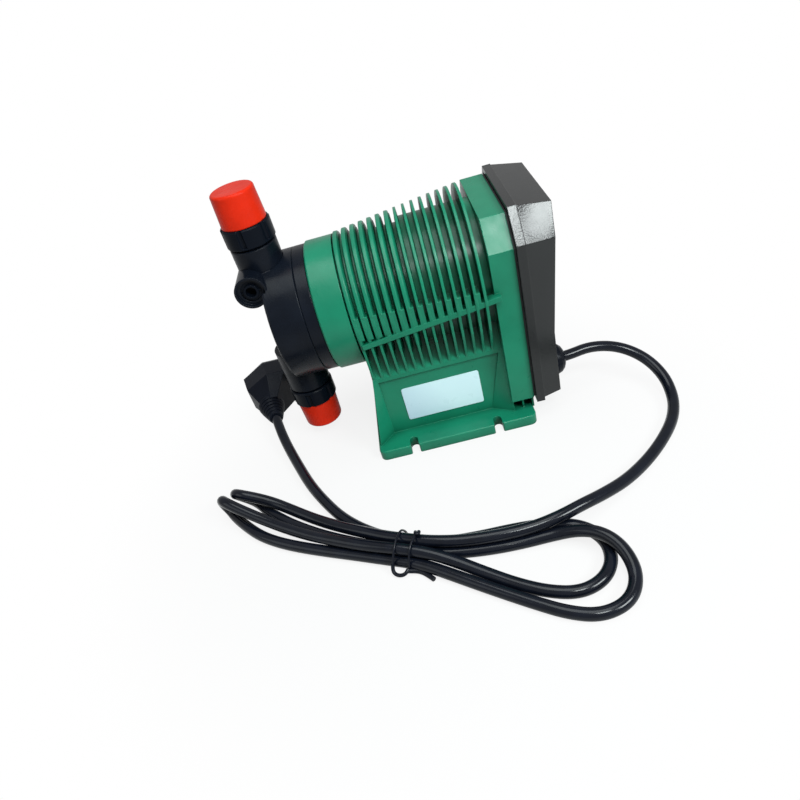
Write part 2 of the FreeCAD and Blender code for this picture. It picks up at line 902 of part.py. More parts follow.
def cable_gland():
    x0 = cover_kink_x
    x1 = x0 + gland_length
    inner_x = x0 - cover_wall - gland_nut_length - 2
    outline = [
        (inner_x, cord_radius + play), (inner_x, gland_thread_radius), (x0, gland_thread_radius),
        (x0, gland_radius), (x0 + gland_length * 0.35, gland_radius),
        (x0 + gland_length * 0.62, gland_radius * 0.92), (x0 + gland_length * 0.86, gland_radius * 0.74),
        (x1, gland_radius * 0.52), (x1, cord_radius + play),
    ]
    return turned_x(outline, gland_y, gland_z)


def gland_nut():
    x1 = cover_kink_x - cover_wall
    x0 = x1 - gland_nut_length
    corners = []
    for index in range(6):
        angle = math.pi / 3 * index
        y, z = gland_nut_radius * math.cos(angle), gland_nut_radius * math.sin(angle)
        corners.append((gland_y + y, gland_z + z))
    return prism_x(corners, x0, x1).cut(rod_x(gland_thread_radius, x0 - 1, x1 + 1, gland_y, gland_z))


# Pump head

def clamp_ring():
    profile = [
        (head_rear_x, 0), (head_rear_x, head_radius - 0.5), (head_rear_x + 0.5, head_radius),
        (ring_front_x - 0.5, head_radius), (ring_front_x, head_radius - 0.5), (ring_front_x, 0),
    ]
    seat = rod_x(diaphragm_rim_radius + play, head_rear_x - 1, head_rear_x + diaphragm_rim_thickness)
    opening = rod_x(ring_opening_radius, head_rear_x, ring_front_x + 1)
    holes = [
        rod_x(head_screw_radius + play, head_rear_x - 1, ring_front_x + 1, y, z)
        for y, z in head_screw_places()
    ]
    return turned_x(profile).cut([seat, opening] + holes)


def discharge_tower():
    z0, z1 = axis_height + tower_inner, axis_height + tower_outer
    return rod_z(tower_radius, z0, z1, valve_x)


def tower_cuts():
    """The stepped bore of a valve tower and its passage to the diaphragm chamber."""
    top = axis_height + tower_outer
    bottom = top - counterbore_depth
    port = axis_height + tower_inner - 4
    groove_outer = rod_z(seal_groove_radius + seal_section, top - 2 * seal_section, top + 1, valve_x)
    groove_inner = rod_z(seal_groove_radius - seal_section, top - 2 * seal_section, top + 1, valve_x)
    return [
        rod_z(counterbore_radius, bottom, top + 1, valve_x),
        rod_z(thread_skirt_radius, top - thread_skirt_depth, top + 1, valve_x),
        rod_z(passage_radius, port, bottom + 1, valve_x),
        rod_x(passage_radius - 0.5, valve_x, head_rear_x, 0, port),
        groove_outer.cut(groove_inner),
    ]


def pump_head():
    edge = head_edge
    profile = [
        (head_front_x, 0), (head_front_x, head_radius - edge),
        (head_front_x + edge * 0.3, head_radius - edge * 0.3), (head_front_x + edge, head_radius),
        (head_rear_x - 0.5, head_radius), (head_rear_x, head_radius - 0.5),
        (head_rear_x, 0),
    ]
    disc = turned_x(profile)
    tower = discharge_tower()
    boss = rod_y(bleed_boss_radius, -bleed_boss_reach, 0, bleed_x, bleed_height)
    head = joined([disc, tower, mirrored(tower), boss])
    tower_top = axis_height + tower_outer
    spot_face = rod_z(tower_radius + play, tower_top, tower_top + valve_body_length, valve_x)
    cuts = tower_cuts() + [spot_face]
    cuts += [mirrored(cut) for cut in cuts]
    cuts.append(rod_x(chamber_radius, head_rear_x - chamber_depth, head_rear_x + 1))
    for y, z in head_screw_places():
        cuts.append(rod_x(head_screw_radius + play, head_front_x - 1, head_rear_x + 1, y, z))
        cuts.append(rod_x(
            head_screw_cap_radius + play, head_front_x - 1,
            head_front_x + head_screw_cap_length + 0.5, y, z,
        ))
    screw_end = -bleed_boss_reach + bleed_recess + bleed_screw_length
    cuts.append(rod_y(bleed_screw_radius + bush_fit, -bleed_boss_reach - 1, screw_end, bleed_x, bleed_height))
    mouth_end = -bleed_boss_reach + bleed_mouth_depth
    cuts.append(rod_y(bleed_mouth_radius, -bleed_boss_reach - 1, mouth_end, bleed_x, bleed_height))
    cuts.append(rod_y(1.2, screw_end - 1, -tower_radius / 4, bleed_x, bleed_height))
    return head.cut(cuts).removeSplitter()


def head_screws():
    screws = []
    for y, z in head_screw_places():
        cap_x = head_front_x + 0.5
        shank_x = cap_x + head_screw_cap_length
        cap = rod_x(head_screw_cap_radius, cap_x, shank_x, y, z)
        socket = prism_x(hexagon(y, z, 2.3), cap_x - 1, cap_x + head_screw_cap_length * 0.55)
        shank = rod_x(head_screw_radius, shank_x, ring_front_x + head_screw_grip - 1, y, z)
        screws.append(joined([cap, shank]).cut(socket))
    return Part.makeCompound(screws)


def hexagon(y, z, radius):
    """A six-sided (y, z) outline about a point."""
    turns = [math.pi / 3 * index for index in range(6)]
    return [(y + radius * math.cos(turn), z + radius * math.sin(turn)) for turn in turns]


# Check valves: each piece is made on the discharge side, and mirrored where it stands the same way out

def valve_seat(z0):
    profile = [
        (seat_bore_radius, z0), (counterbore_radius - play, z0),
        (counterbore_radius - play, z0 + seat_height),
        (cage_bore_radius, z0 + seat_height), (seat_bore_radius, z0 + seat_height - seat_slope()),
    ]
    return turned_z(profile, valve_x)


def seat_slope():
    return cage_bore_radius - seat_bore_radius


def ball_centre(z0):
    """The height of a ball resting just clear of the 45 degree cone of its seat."""
    apex = z0 + seat_height - cage_bore_radius
    return apex + ball_radius * math.sqrt(2) + 2 * bush_fit


def valve_cage(z0):
    base = z0 + seat_height
    top = z0 + counterbore_depth
    stop = ball_centre(z0) + ball_radius + ball_lift + play
    outer = rod_z(counterbore_radius - play, base, top, valve_x)
    bore = rod_z(cage_bore_radius, base - 1, stop, valve_x)
    outlet = rod_z(passage_radius, base, top + 1, valve_x)
    channels = [
        box(valve_x - 7.2, valve_x + 7.2, -1.2, 1.2, base - 1, stop),
        box(valve_x - 1.2, valve_x + 1.2, -7.2, 7.2, base - 1, stop),
    ]
    return outer.cut([bore, outlet] + channels)


def valve_ball(z0):
    return Part.makeSphere(ball_radius, Vector(valve_x, 0, ball_centre(z0)))


def valve_body():
    z0 = axis_height + tower_outer
    z1 = z0 + valve_body_length
    z2 = z1 + neck_length
    radius = tower_radius - play
    profile = [
        (passage_radius + 1, z0), (thread_skirt_radius - play - 1.8, z0),
        (thread_skirt_radius - play - 1.8, z0 - thread_skirt_depth + play),
        (thread_skirt_radius - play, z0 - thread_skirt_depth + play), (thread_skirt_radius - play, z0),
        (radius, z0), (radius, z1 - 0.6), (radius - 0.6, z1), (neck_radius, z1), (neck_radius, z2 - 0.8),
        (neck_radius - 0.8, z2), (passage_radius + 1, z2),
    ]
    groove = rod_z(spigot_seal_radius + seal_section, z2 - 2 * seal_section, z2 + 1, valve_x)
    groove = groove.cut(rod_z(spigot_seal_radius - seal_section, z2 - 2 * seal_section - 1, z2 + 2, valve_x))
    return turned_z(profile, valve_x).cut(groove)


def valve_seals():
    z0 = axis_height + tower_outer
    z2 = z0 + valve_body_length + neck_length
    lower = Part.makeTorus(seal_groove_radius, seal_section - bush_fit, Vector(valve_x, 0, z0 - seal_section))
    upper = Part.makeTorus(spigot_seal_radius, seal_section - bush_fit, Vector(valve_x, 0, z2 - seal_section))
    return Part.makeCompound([lower, upper])


def nut_base():
    return axis_height + tower_outer + valve_body_length + nut_gap


def union_nut():
    z0 = nut_base()
    z1 = z0 + nut_length
    z2 = z1 + nut_collar_length
    web = z1 - nut_web
    hole = spigot_radius + 2.4
    profile = [
        (neck_radius + play, z0), (nut_radius - 0.7, z0), (nut_radius, z0 + 0.7), (nut_radius, z1 - 0.7),
        (nut_radius - 0.7, z1), (nut_collar_radius, z1), (nut_collar_radius, z2 - 0.6),
        (nut_collar_radius - 0.6, z2), (hole, z2), (hole, web), (neck_radius + play, web),
    ]
    nut = turned_z(profile, valve_x)
    grooves = []
    for index in range(nut_groove_count):
        angle = 2 * math.pi * (index + 0.35) / nut_groove_count
        x, y = valve_x + (nut_radius + 0.4) * math.cos(angle), (nut_radius + 0.4) * math.sin(angle)
        grooves.append(rod_z(1.9, z0 + 1.4, z1 + 1, x, y))
    return nut.cut(grooves)


def hose_spigot():
    z0 = axis_height + tower_outer + valve_body_length + neck_length
    z1 = nut_base() + nut_length - nut_web
    z2 = z1 + spigot_length
    barb = spigot_length / 4
    profile = [(spigot_bore_radius, z0), (spigot_flange_radius, z0), (spigot_flange_radius, z1)]
    profile.append((spigot_radius - 0.7, z1))
    for index in range(1, 4):
        level = z1 + barb * index
        profile += [(spigot_radius - 0.7, level - barb * 0.4), (spigot_radius, level - barb * 0.4)]
        profile.append((spigot_radius - 0.7, level + barb * 0.5))
    profile += [(spigot_radius - 0.7, z2 - 0.4), (spigot_radius - 1.1, z2), (spigot_bore_radius, z2)]
    return turned_z(profile, valve_x)


def protective_cap():
    z0 = nut_base() + nut_length + running_gap
    z1 = z0 + cap_length
    inner = nut_collar_radius + running_gap
    profile = [
        (inner, z0), (cap_rim_radius, z0), (cap_top_radius, z1), (0, z1), (0, z1 - cap_wall),
        (cap_top_radius - cap_wall - 1.0, z1 - cap_wall), (cap_top_radius - cap_wall, z1 - cap_wall - 1.5),
        (inner, z0 + nut_collar_length + 1),
    ]
    cap = turned_z(profile, valve_x)
    rims = [
        edge for edge in cap.Edges
        if abs(edge.BoundBox.ZMin - z1) < 0.01 and edge.BoundBox.XLength > cap_top_radius
    ]
    return cap.makeFillet(cap_edge, rims)


def bleed_screw():
    y0 = -bleed_boss_reach + bleed_recess
    y1 = y0 + bleed_screw_length
    screw = rod_y(bleed_screw_radius, y0, y1 - bleed_screw_relief, bleed_x, bleed_height)
    stem = rod_y(bleed_stem_radius, y0 - bleed_stem_rise, y0 + 1, bleed_x, bleed_height)
    reach = bleed_screw_radius - 0.1
    web = box(
        bleed_x - reach, bleed_x + reach, y0 - bleed_stem_rise / 2, y0 + 1,
        bleed_height - bleed_web / 2, bleed_height + bleed_web / 2,
    )
    bore = rod_y(bleed_bore_radius, y0 - bleed_stem_rise - 1, y0 + bleed_bore_depth, bleed_x, bleed_height)
    return joined([screw, stem, web]).cut(bore)


# Diaphragm and solenoid

def diaphragm():
    x = head_rear_x
    inner = diaphragm_rim_radius - diaphragm_rim_width
    web0, web1 = x + 0.5, x + 0.5 + diaphragm_web
    profile = [
        (x - 0.3, 0), (x - 0.3, diaphragm_hub_radius - 2), (web0, diaphragm_hub_radius), (web0, inner - 0.5),
        (x, inner), (x, diaphragm_rim_radius), (x + diaphragm_rim_thickness, diaphragm_rim_radius),
        (x + diaphragm_rim_thickness, inner), (web1, inner - 0.5), (web1, 0),
    ]
    return turned_x(profile)


def backing_x():
    return head_rear_x + 0.5 + diaphragm_web


def diaphragm_plate():
    x = backing_x()
    plate = rod_x(backing_radius, x, x + backing_thickness)
    return plate


def plunger_rod():
    return rod_x(rod_radius, backing_x() + backing_thickness, yoke_rear_x + 4)


def front_bush():
    x0 = ring_front_x + bush_inset
    bush = rod_x(bush_radius, x0, x0 + bush_length)
    return bush.cut(rod_x(rod_radius + bush_fit, x0 - 1, x0 + bush_length + 1))


def rear_bush():
    bush = rod_x(bush_radius, end_plate_x, end_plate_x + bush_length - 2)
    return bush.cut(rod_x(rod_radius + bush_fit, end_plate_x - 1, end_plate_x + bush_length + 1))


def pole_piece():
    flange = rod_x(yoke_radius, bulkhead_x, bulkhead_x + pole_flange)
    nose = rod_x(pole_radius, bulkhead_x, pole_face_x)
    cuts = [
        rod_x(bush_radius, bulkhead_x - 1, ring_front_x + bush_inset + bush_length),
        rod_x(rod_radius + 0.6, bulkhead_x, pole_face_x + 1),
        rod_x(spring_pocket_radius, pole_face_x - spring_pocket_depth, pole_face_x + 1),
    ]
    cuts += [
        rod_x(solenoid_screw_radius, bulkhead_x - 1, bulkhead_x + pole_flange + 1, y, z)
        for y, z in solenoid_screw_places()
    ]
    return joined([flange, nose]).cut(cuts)


def solenoid_yoke():
    x0 = bulkhead_x + pole_flange
    can = rod_x(yoke_radius, x0, yoke_rear_x)
    inside = rod_x(yoke_radius - yoke_wall, x0 - 1, end_plate_x)
    window = box(
        end_plate_x - lead_window_inset - lead_window_length, end_plate_x - lead_window_inset,
        -lead_window_width / 2, lead_window_width / 2,
        axis_height - yoke_radius - 1, axis_height - yoke_radius + 2 * yoke_wall,
    )
    return can.cut([inside, rod_x(bush_radius, x0, yoke_rear_x + 1), window])


def coil_bobbin():
    x0 = bulkhead_x + pole_flange + play
    x1 = end_plate_x - play
    outer = bobbin_bore_radius + bobbin_wall
    rim = yoke_radius - yoke_wall - play
    profile = [
        (x0, bobbin_bore_radius), (x0, rim), (x0 + bobbin_flange, rim), (x0 + bobbin_flange, outer),
        (x1 - bobbin_flange, outer), (x1 - bobbin_flange, rim), (x1, rim), (x1, bobbin_bore_radius),
    ]
    return turned_x(profile)


def solenoid_coil():
    x0 = bulkhead_x + pole_flange + play + bobbin_flange
    x1 = end_plate_x - play - bobbin_flange
    inner = bobbin_bore_radius + bobbin_wall
    return turned_x([(x0, inner), (x0, coil_radius), (x1, coil_radius), (x1, inner)])


def armature():
    x0, x1 = armature_front_x, armature_rear_x
    profile = [
        (x0, spring_pocket_radius), (x0, armature_radius), (x1, armature_radius), (x1, rod_radius),
        (x0 + spring_pocket_depth, rod_radius), (x0 + spring_pocket_depth, spring_pocket_radius),
    ]
    return turned_x(profile)


def return_spring():
    x0 = pole_face_x - spring_pocket_depth + spring_wire_radius + play
    x1 = armature_front_x + spring_pocket_depth - spring_wire_radius - play
    length = x1 - x0
    helix = Part.makeHelix(length / spring_turns, length, spring_radius - spring_wire_radius)
    start = helix.Edges[0].valueAt(helix.Edges[0].FirstParameter)
    section = Part.Wire(Part.Edge(Part.Circle(start, Vector(0, 1, 0), spring_wire_radius)))
    wire = Part.Wire(helix.Edges)
    coil = wire.makePipeShell([section], True, True)
    coil.rotate(Vector(0, 0, 0), Vector(0, 1, 0), 90)
    coil.translate(Vector(x0, 0, axis_height))
    return coil


def stop_bumper():
    ring = rod_x(armature_radius - 2, end_plate_x - bumper_thickness, end_plate_x)
    return ring.cut(rod_x(rod_radius + 1, end_plate_x - bumper_thickness - 1, end_plate_x + 1))


def solenoid_screws():
    screws = []
    for y, z in solenoid_screw_places():
        x0 = ring_front_x - solenoid_screw_cap_length
        cap = rod_x(solenoid_screw_cap_radius, x0, ring_front_x, y, z)
        shank = rod_x(solenoid_screw_radius, ring_front_x, ring_front_x + solenoid_screw_length, y, z)
        socket = prism_x(hexagon(y, z, 1.4), x0 - 1, x0 + solenoid_screw_cap_length / 2)
        screws.append(joined([cap, shank]).cut(socket))
    return Part.makeCompound(screws)


# Electronics

def circuit_board():
    board = box(
        board_x, board_x + board_thickness, -board_half_width, board_half_width, board_bottom, board_top,
    )
    holes = [
        rod_x(standoff_hole_radius + play, board_x - 1, board_x + board_thickness + 1, y, z)
        for y, z in board_screw_places()
    ]
    return board.cut(holes)


def board_screws():
    screws = []
    x1 = board_x + board_thickness
    for y, z in board_screw_places():
        shank = rod_x(standoff_hole_radius, board_x - board_screw_length + 0.5, x1, y, z)
        cap = rod_x(board_screw_cap_radius, x1, x1 + board_screw_cap_length, y, z)
        screws.append(joined([shank, cap]))
    return Part.makeCompound(screws)


def terminal_block():
    x0 = board_x + board_thickness
    y0 = board_margin / 2 - board_half_width
    block = box(x0, x0 + terminal_depth, y0, y0 + terminal_length, terminal_z, terminal_z + terminal_height)
    pitch = terminal_length / 4
    holes = [
        rod_x(1.6, x0 + terminal_depth / 2, x0 + terminal_depth + 1,
              y0 + pitch * (index + 0.5), terminal_z + terminal_height / 2)
        for index in range(4)
    ]
    return block.cut(holes)


def capacitors():
    x0 = board_x + board_thickness
    large = [
        rod_x(capacitor_radius, x0, x0 + capacitor_length, capacitor_y, capacitor_z + index * capacitor_pitch)
        for index in range(2)
    ]
    small = rod_x(small_capacitor_radius, x0, x0 + small_capacitor_length, -capacitor_y, capacitor_z)
    return Part.makeCompound(large + [small])


# Power cord, plug and tie

def bent_path(points):
    """Straight runs joined by arcs, each arc as large as its two runs allow."""
    edges = []
    start = points[0]
    for before, corner, after in zip(points, points[1:], points[2:]):
        run_in, run_out = corner - before, after - corner
        turn = run_in.getAngle(run_out)
        cut = 0.45 * min(run_in.Length, run_out.Length)
        radius = cut / math.tan(turn / 2)
        direction_in, direction_out = Vector(run_in), Vector(run_out)
        direction_in.normalize()
        direction_out.normalize()
        arc_start = corner - direction_in * cut
        arc_end = corner + direction_out * cut
        inward = direction_out - direction_in
        inward.normalize()
        arc_middle = corner + inward * (radius / math.cos(turn / 2) - radius)
        edges.append(Part.LineSegment(start, arc_start).toShape())
        edges.append(Part.Arc(arc_start, arc_middle, arc_end).toShape())
        print("  bend radius", round(radius, 1), "turn", round(math.degrees(turn)))
        start = arc_end
    edges.append(Part.LineSegment(start, points[-1]).toShape())
    return Part.Wire(edges)


def cord_tube(points):
    path = bent_path(points)
    heading = points[1] - points[0]
    section = Part.Wire(Part.Edge(Part.Circle(points[0], heading, cord_radius)))
    tube = path.makePipeShell([section], True, True)
    expected = math.pi * cord_radius ** 2 * path.Length
    print("  cord length", round(path.Length), "volume share", round(tube.Volume / expected, 4))
    return tube


# The lead from the gland round the right of the pump to the hank
lead_points = [
    Vector(cover_kink_x + 1.5, gland_y, gland_z),
    Vector(82.8, gland_y, gland_z),
    Vector(99.9, -22.4, 26.8),
    Vector(117.2, -25.1, 23.3),
    Vector(130.8, -34.8, 17.1),
    Vector(137.9, -49.6, 10.1),
    Vector(137.2, -66.6, 4.6),
    Vector(130.6, -82.6, cord_lie),
    Vector(119.4, -97.2, cord_lie),
    Vector(104.8, -111.6, cord_lie),
    Vector(87.0, -124.9, cord_lie),
    Vector(67.0, -134.8, cord_lie),
    Vector(44.0, -142.4, cord_lie),
]

# The lead from the hank to the plug
tail_points = [
    Vector(-78, -101, cord_lie + 3),
    Vector(-88, -87, cord_lie),
    Vector(-98.5, -67.5, cord_lie),
    Vector(-108, -43.5, cord_lie),
    Vector(-116.5, -20.5, cord_lie + 2.5),
    Vector(plug_tip_x + 3.0, plug_tip_y - 10.5, plug_tip_z - 2.5),
    Vector(plug_tip_x, plug_tip_y, plug_tip_z),
]

# Outlines of the hank on the surface, as (x, y)
left_lobe = [
    (-41, -124), (-70, -105), (-106, -79.5), (-134, -60.5), (-149, -55.5), (-158, -61),
    (-161, -72), (-154, -86), (-138, -102), (-109, -121), (-82, -133.5), (-43, -150),
]
right_lobe = [
    (-45, -130), (-20, -134), (9, -134.5), (34, -137), (53, -144), (66, -153.5), (71.8, -168), (71.8, -187),
    (64, -201), (52, -206.8), (38, -205), (22, -197), (5, -187), (-12, -173.5), (-32, -159), (-45, -153),
]
right_opening = [
    (-14, -151.5), (14, -154), (40, -155.5), (54, -161), (59.5, -169), (56, -178),
    (43, -183), (28, -181.5), (12, -174.5), (-4, -163),
]


def slab(outline, z0, z1, corner):
    points = [Vector(x, y, z0) for x, y in outline]
    solid = face_of(points).extrude(Vector(0, 0, z1 - z0))
    uprights = [edge for edge in solid.Edges if edge.BoundBox.ZLength > (z1 - z0) / 2]
    return solid.makeFillet(corner, uprights)


def tie_placed(shape):
    shape.rotate(Vector(0, 0, 0), Vector(0, 0, 1), tie_angle)
    shape.translate(Vector(tie_x, tie_y, 0))
    return shape


def cord_hank():
    left = slab(left_lobe, 0.1, hank_height, 4.0)
    right = slab(right_lobe, 0.1, hank_height, 4.0).cut(slab(right_opening, -1, hank_height + 1, 4.0))
    body = joined([left, right])
    around = box(-tie_width / 2 - play, tie_width / 2 + play, -hank_half_width, hank_half_width,
                 -1, hank_height + 1)
    waist = box(
        -tie_width, tie_width, -tie_half_width, tie_half_width, tie_waist + 0.1, hank_height - tie_waist,
    )
    return body.cut(tie_placed(around.cut(waist)))


def cord_tie():
    half = tie_width / 2
    outer = box(-half, half, -tie_half_width - tie_thickness, tie_half_width + tie_thickness,
                0.1, hank_height)
    inner = box(-half - 1, half + 1, -tie_half_width - play / 2, tie_half_width + play / 2,
                tie_waist, hank_height - tie_waist + play / 2)
    groove = box(-0.5, 0.5, -hank_half_width, hank_half_width, -1, hank_height + 2).cut(
        box(-1, 1, -tie_half_width - tie_thickness * 0.5, tie_half_width + tie_thickness * 0.5,
            tie_waist * 0.5, hank_height - tie_waist * 0.5))
    tail = box(-1.2, 1.2, tie_half_width, tie_half_width + tie_tail_length, 1.0, 3.4)
    ring = joined([outer.cut(inner), tail]).cut(groove)
    return tie_placed(ring)


def plug_placed(shape):
    shape.rotate(Vector(0, 0, 0), Vector(0, 0, 1), plug_heading)
    shape.translate(Vector(plug_tip_x, plug_tip_y, plug_tip_z))
    return shape


def plug_start():
    """Where the body of the plug starts, along its own axis."""
    return relief_length - 3


def plug_body():
    """The moulded plug on its edge: a ribbed sleeve that widens into a rim for the pins and a narrow back."""
    base = 0.1 - plug_tip_z
    top = base + plug_height
    rim, ridge, back = -plug_rim - 6.0, -6.0, plug_back - 6.0
    inset = (plug_height - plug_back_height) / 2
    neck = [(-7, -7.5), (-3, -8.5), (6.5, -4.5), (6.5, 5.5), (-2, 9), (-7, 8)]
    full = [
        (rim, base), (ridge, base), (back, base + inset),
        (back, top - inset), (ridge, top), (rim, top - 2.5),
    ]
    end = [
        (rim, base + 1.5), (ridge, base + 1.5), (back - 2, base + inset + 1),
        (back - 2, top - inset - 2), (ridge, top - 2), (rim, top - 4.5),
    ]
    start = plug_start()
    stations = [
        (start, neck), (start + plug_shoulder, full),
        (start + plug_length - 5, full), (start + plug_length, end),
    ]
    body = loft([[Vector(u, v, w) for v, w in outline] for u, outline in stations])
    return plug_placed(joined([body, relief_sleeve()]))


def relief_sleeve():
    profile = [(0, 0), (0, relief_tip_radius)]
    slope = (relief_root_radius - relief_tip_radius) / relief_length
    pitch = relief_length / (relief_rib_count + 1)
    for index in range(1, relief_rib_count + 1):
        u = pitch * index
        radius = relief_tip_radius + slope * u
        profile += [
            (u - pitch * 0.25, radius), (u - pitch * 0.2, radius - 0.9),
            (u + pitch * 0.2, radius - 0.9), (u + pitch * 0.25, radius),
        ]
    profile += [(relief_length, relief_root_radius), (relief_length, 0)]
    return turned_x(profile, 0, 0)


def plug_pins():
    base = 0.1 - plug_tip_z
    middle_u = plug_start() + (plug_shoulder + plug_length) / 2
    middle_w = base + plug_height / 2
    face = -plug_rim - 6.0
    pins = []
    for along, up, lean in ((-pin_offset, 3.0, 30), (pin_offset, 3.0, -30), (0.0, -7.3, 90)):
        pin = box(-pin_thickness / 2, pin_thickness / 2, face - pin_length, face,
                  -pin_width / 2, pin_width / 2)
        pin.rotate(Vector(0, 0, 0), Vector(0, 1, 0), lean)
        pin.translate(Vector(middle_u + along, 0, middle_w + up))
        pins.append(pin)
    return plug_placed(Part.makeCompound(pins))


# Every piece, by name

def discharge_stack():
    return axis_height + tower_outer - counterbore_depth


def suction_stack():
    return axis_height - tower_outer


os.makedirs("parts", exist_ok=True)
pieces = {
    "main_housing": main_housing(),
    "name_plate": name_plate(),
    "rear_cover": rear_cover(),
    "cover_gasket": cover_gasket(),
    "cover_screws": cover_screws(),
    "dial_plate": dial_plate(),
    "indicator_lens": indicator_lens(),
    "rate_potentiometer": rate_potentiometer(),
    "rate_shaft": rate_shaft(),
    "rate_knob": rate_knob(),
    "switch_frame": switch_frame(),
    "power_rocker": power_rocker(),
    "cable_gland": cable_gland(),
    "gland_nut": gland_nut(),
    "clamp_ring": clamp_ring(),
    "pump_head": pump_head(),
    "head_screws": head_screws(),
    "bleed_screw": bleed_screw(),
    "diaphragm": diaphragm(),
    "diaphragm_plate": diaphragm_plate(),
    "plunger_rod": plunger_rod(),
    "armature": armature(),
    "return_spring": return_spring(),
    "front_bush": front_bush(),
    "rear_bush": rear_bush(),
    "pole_piece": pole_piece(),
    "solenoid_yoke": solenoid_yoke(),
    "coil_bobbin": coil_bobbin(),
    "solenoid_coil": solenoid_coil(),
    "stop_bumper": stop_bumper(),
    "solenoid_screws": solenoid_screws(),
    "circuit_board": circuit_board(),
    "board_screws": board_screws(),
    "terminal_block": terminal_block(),
    "capacitors": capacitors(),
    "power_cord_lead": cord_tube(lead_points),
    "power_cord_tail": cord_tube(tail_points),
    "cord_hank": cord_hank(),
    "cord_tie": cord_tie(),
    "plug_body": plug_body(),
    "plug_pins": plug_pins(),
}
for side, stack in (("discharge", discharge_stack()), ("suction", suction_stack())):
    pieces[side + "_seat"] = valve_seat(stack)
    pieces[side + "_cage"] = valve_cage(stack)
    pieces[side + "_ball"] = valve_ball(stack)
outward_pieces = {
    "valve_body": valve_body(),
    "seals": valve_seals(),
    "union_nut": union_nut(),
    "hose_spigot": hose_spigot(),
    "cap": protective_cap(),
}
for name, shape in outward_pieces.items():
    pieces["discharge_" + name] = shape
    pieces["suction_" + name] = mirrored(shape)
for name, shape in pieces.items():
    save(name, shape)
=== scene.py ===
import json
import math

import bpy
from bpy.props import FloatProperty, FloatVectorProperty, PointerProperty
from mathutils import Matrix, Vector


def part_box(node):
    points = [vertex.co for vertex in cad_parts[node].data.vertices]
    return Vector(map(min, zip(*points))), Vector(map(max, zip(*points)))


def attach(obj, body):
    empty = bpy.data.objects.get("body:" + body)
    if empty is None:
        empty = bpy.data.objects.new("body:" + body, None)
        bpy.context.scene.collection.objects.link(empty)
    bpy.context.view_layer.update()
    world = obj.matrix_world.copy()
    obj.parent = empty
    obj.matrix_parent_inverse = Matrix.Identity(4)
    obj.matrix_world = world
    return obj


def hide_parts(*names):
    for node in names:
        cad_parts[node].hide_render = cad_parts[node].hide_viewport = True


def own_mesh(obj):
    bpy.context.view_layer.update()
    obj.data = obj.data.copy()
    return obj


bl_info = {
    "name": "Diaphragm metering pump",
    "version": (1, 0, 0),
    "blender": (4, 5, 0),
    "location": "3D View > Sidebar > Pump",
    "description": "Dresses the packed metering pump with its finishes, power cord, tie and stage",
    "category": "Object",
}

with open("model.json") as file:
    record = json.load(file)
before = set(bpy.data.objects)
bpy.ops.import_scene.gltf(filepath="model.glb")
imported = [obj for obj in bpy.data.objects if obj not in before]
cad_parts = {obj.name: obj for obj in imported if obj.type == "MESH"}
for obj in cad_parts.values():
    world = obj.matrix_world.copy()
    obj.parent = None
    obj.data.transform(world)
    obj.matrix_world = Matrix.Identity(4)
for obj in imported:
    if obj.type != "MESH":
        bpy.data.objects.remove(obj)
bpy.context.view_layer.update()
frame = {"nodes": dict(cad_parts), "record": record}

MM = 0.001
SLOT_OF_NODE = {part["node"]: part["material_slot"] for part in frame["record"]["subparts"]}

